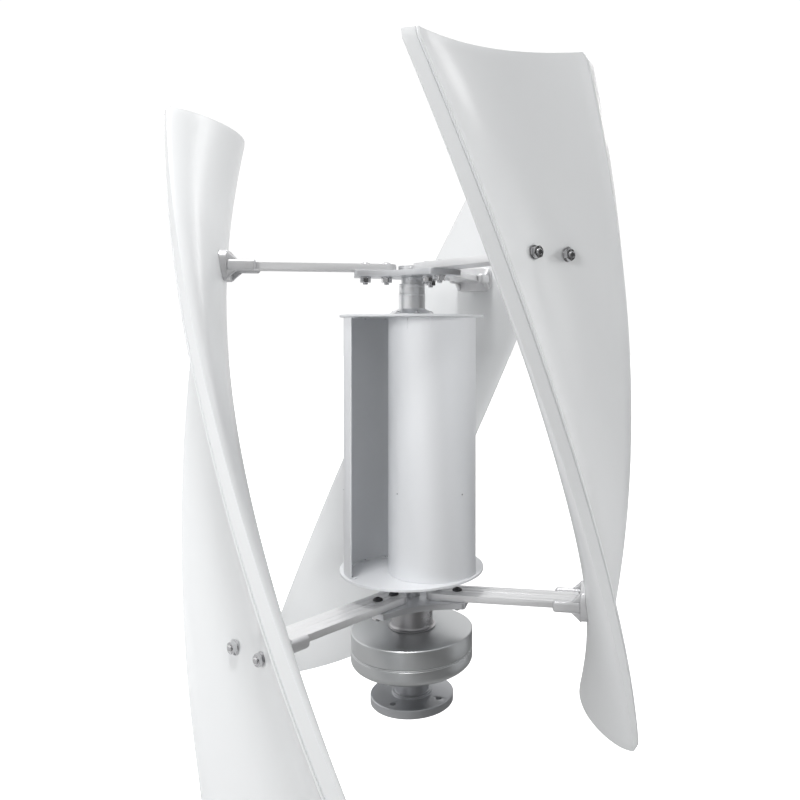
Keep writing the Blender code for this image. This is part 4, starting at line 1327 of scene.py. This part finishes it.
# ---- studio ----
@dataclass
class Studio:
    """The camera, the pale floor and the soft lights."""

    lens: float = 33.957
    place: tuple[float, float, float] = (0.12547, -1.3757, 0.6714)
    shift: tuple[float, float] = (-0.10104, -0.08699)
    floor_height: float = -0.40
    bright_side: tuple[float, float, float] = (-0.62, 0.30, 0.72)
    glossy_room: tuple[float, float] = (0.03, 1.40)
    matte_room: tuple[float, float] = (0.14, 0.50)

    def build(self) -> None:
        """Set up the camera, floor, lights and surroundings."""
        self._camera()
        self._floor()
        self._lights()

    def _camera(self) -> None:
        """The level camera in front of the turbine."""
        data = bpy.data.cameras.new("studio_camera")
        data.sensor_width = 36.0
        data.lens = self.lens
        data.shift_x, data.shift_y = self.shift
        camera = bpy.data.objects.new("studio_camera", data)
        camera.location = self.place
        camera.rotation_euler = (math.pi / 2, 0.0, 0.0)
        bpy.context.scene.collection.objects.link(camera)
        bpy.context.scene.camera = camera

    def _floor(self) -> None:
        """A wide pale floor."""
        bpy.ops.object.select_all(action="DESELECT")
        bpy.ops.mesh.primitive_plane_add(size=60.0, location=(0, 0, self.floor_height))
        floor = bpy.context.object
        floor.name = "pale_floor"
        mat = bpy.data.materials.new("pale_floor")
        mat.use_nodes = True
        tree = mat.node_tree
        shader = tree.nodes["Principled BSDF"]
        feed(tree, shader, {"Base Color": (0.62, 0.62, 0.62, 1.0), "Roughness": 0.9})
        glow = add_node(tree, "Emission", {"Strength": 1.0})
        split = add_node(tree, "SeparateXYZ", {0: add_node(tree, "TexCoord").outputs["Object"]})
        fade = add_node(tree, "MapRange", {"From Min": -0.8, "From Max": 0.9, "To Min": 0.62, "To Max": 0.16,
                                           "Value": split.outputs["X"]})
        mirrored = add_node(tree, "Emission", {"Strength": fade.outputs["Result"]})
        lit = add_node(tree, "AddShader", {0: shader.outputs["BSDF"], 1: glow.outputs["Emission"]})
        self._by_ray(tree, shader.outputs["BSDF"], mirrored.outputs["Emission"], lit.outputs["Shader"],
                     tree.nodes["Material Output"])
        floor.data.materials.append(mat)

    def _lights(self) -> None:
        """A bright side and a dim side all round, soft lights, and lights for the sheet and the blades alone."""
        world = bpy.data.worlds.new("studio_world")
        world.use_nodes = True
        tree = world.node_tree
        backdrop = tree.nodes["Background"]
        feed(tree, backdrop, {"Color": (1.0, 1.0, 1.0, 1.0), "Strength": 1.05})
        glossy = self._room(tree, self.bright_side, self.glossy_room)
        matte = self._room(tree, (0.0, 0.0, 1.0), self.matte_room)
        self._by_ray(tree, matte, glossy, backdrop.outputs["Background"], tree.nodes["World Output"])
        bpy.context.scene.world = world
        bpy.context.scene.view_settings.view_transform = "Standard"
        self._area("key_light", (-0.5, -1.2, 5.0), (0.0, 0.0, 0.40), (0.7, 0.7), 112.0)
        front = self._area("front_light", (-1.3, -2.4, 1.3), (0.0, 0.0, 0.5), (0.8, 0.8), 30.0)
        side = self._area("side_light", (2.6, 0.1, 0.9), (-0.2, 0.0, 0.55), (1.2, 1.2), 30.0)
        front.visible_glossy = False
        side.visible_glossy = False
        patch = self._area("patch_light", (2.66, -0.04, 2.5), (0.09, -0.39, 1.0), (0.5, 0.5), 5.0)
        strip = self._area("strip_light", (1.46, 1.70, 2.4), (-0.34, -0.12, 0.87), (0.18, 1.6), 9.0)
        sheet = self._area("sheet_light", (-2.2, -2.0, 0.9), (0.0, 0.0, 0.4), (0.8, 0.8), 14.0)
        sheet.visible_glossy = False
        sheet.light_linking.receiver_collection = self._named(
            "sheet_pieces", ("folded_scoop", "lower_rimmed", "upper_rimmed"))
        for light in (patch, strip):
            light.visible_diffuse = False
            light.light_linking.receiver_collection = self._named("blade_pieces", ("moulded_blade",))

    @staticmethod
    def _named(name: str, starts: tuple[str, ...]) -> bpy.types.Collection:
        """A collection of the pieces whose names start in one way, for the lights that reach only those."""
        chosen = bpy.data.collections.new(name)
        for obj in bpy.context.scene.objects:
            if obj.name.startswith(starts):
                chosen.objects.link(obj)
        return chosen

    @staticmethod
    def _by_ray(tree: bpy.types.NodeTree, matte: bpy.types.NodeSocket, glossy: bpy.types.NodeSocket,
                seen: bpy.types.NodeSocket, output: bpy.types.Node) -> None:
        """Show matte rays, glossy rays and the camera each a shader of its own.

        Args:
            tree: the nodes.
            matte: the shader for all other rays.
            glossy: the shader for glossy rays.
            seen: the shader for the camera.
            output: the node that takes the choice.
        """
        ray = add_node(tree, "LightPath").outputs
        kind = add_node(tree, "MixShader", {"Fac": ray["Is Glossy Ray"], 1: matte, 2: glossy})
        choice = add_node(tree, "MixShader", {"Fac": ray["Is Camera Ray"], 1: kind.outputs["Shader"], 2: seen})
        feed(tree, output, {"Surface": choice.outputs["Shader"]})

    @staticmethod
    def _room(tree: bpy.types.NodeTree, way: Sequence[float], ends: tuple[float, float]) -> bpy.types.NodeSocket:
        """Surroundings that go softly from dim to bright along a direction.

        Args:
            tree: the world's nodes.
            way: the direction of the bright end.
            ends: strength at the dim end and at the bright end.

        Returns:
            The background's socket.
        """
        where = add_node(tree, "TexCoord").outputs["Generated"]
        lean = add_node(tree, "VectorMath", {0: where, 1: way}, operation="DOT_PRODUCT")
        spread = add_node(tree, "MapRange", {"From Min": -0.75, "From Max": 0.85, "To Min": ends[0],
                                             "To Max": ends[1], "Value": lean.outputs["Value"]},
                          interpolation_type="SMOOTHSTEP")
        return add_node(tree, "Background", {"Strength": spread.outputs["Result"]}).outputs["Background"]

    @staticmethod
    def _area(name: str, place: Sequence[float], aim: Sequence[float], size: tuple[float, float],
              power: float) -> bpy.types.Object:
        """One soft area light.

        Args:
            name: the light's name.
            place: where it stands.
            aim: the point it faces.
            size: its width and height.
            power: its power in watts.

        Returns:
            The light.
        """
        data = bpy.data.lights.new(name, "AREA")
        data.shape = "RECTANGLE"
        data.size, data.size_y = size
        data.energy = power
        light = bpy.data.objects.new(name, data)
        light.location = place
        light.rotation_euler = (Vector(aim) - Vector(place)).to_track_quat("-Z", "Y").to_euler()
        bpy.context.scene.collection.objects.link(light)
        return light


# ---- the whole ----
def dress_frame() -> None:
    """Give the CAD nodes that stay their finishes."""
    for node, finish in CAD_FINISHES.items():
        obj = FRAME["nodes"][node]
        obj.data.materials.clear()
        obj.data.materials.append(finish.material())


def main() -> None:
    """Build every sub-assembly, then the studio."""
    logging.basicConfig(level=logging.INFO, format="%(message)s")
    bpy.ops.object.select_all(action="DESELECT")
    hardware = Hardware()
    blades = Blades()
    levels = [ArmSet("lower", blades, hardware), ArmSet("upper", blades, hardware)]
    seats = [seat for level in levels for seat in level.stud_seats()]
    blades.build(seats)
    for level in levels:
        level.build()
    ScoopRotor(hardware).build()
    ShaftStack(hardware).build()
    Generator(hardware).build()
    dress_frame()
    Studio().build()


if __name__ == "__main__":
    main()
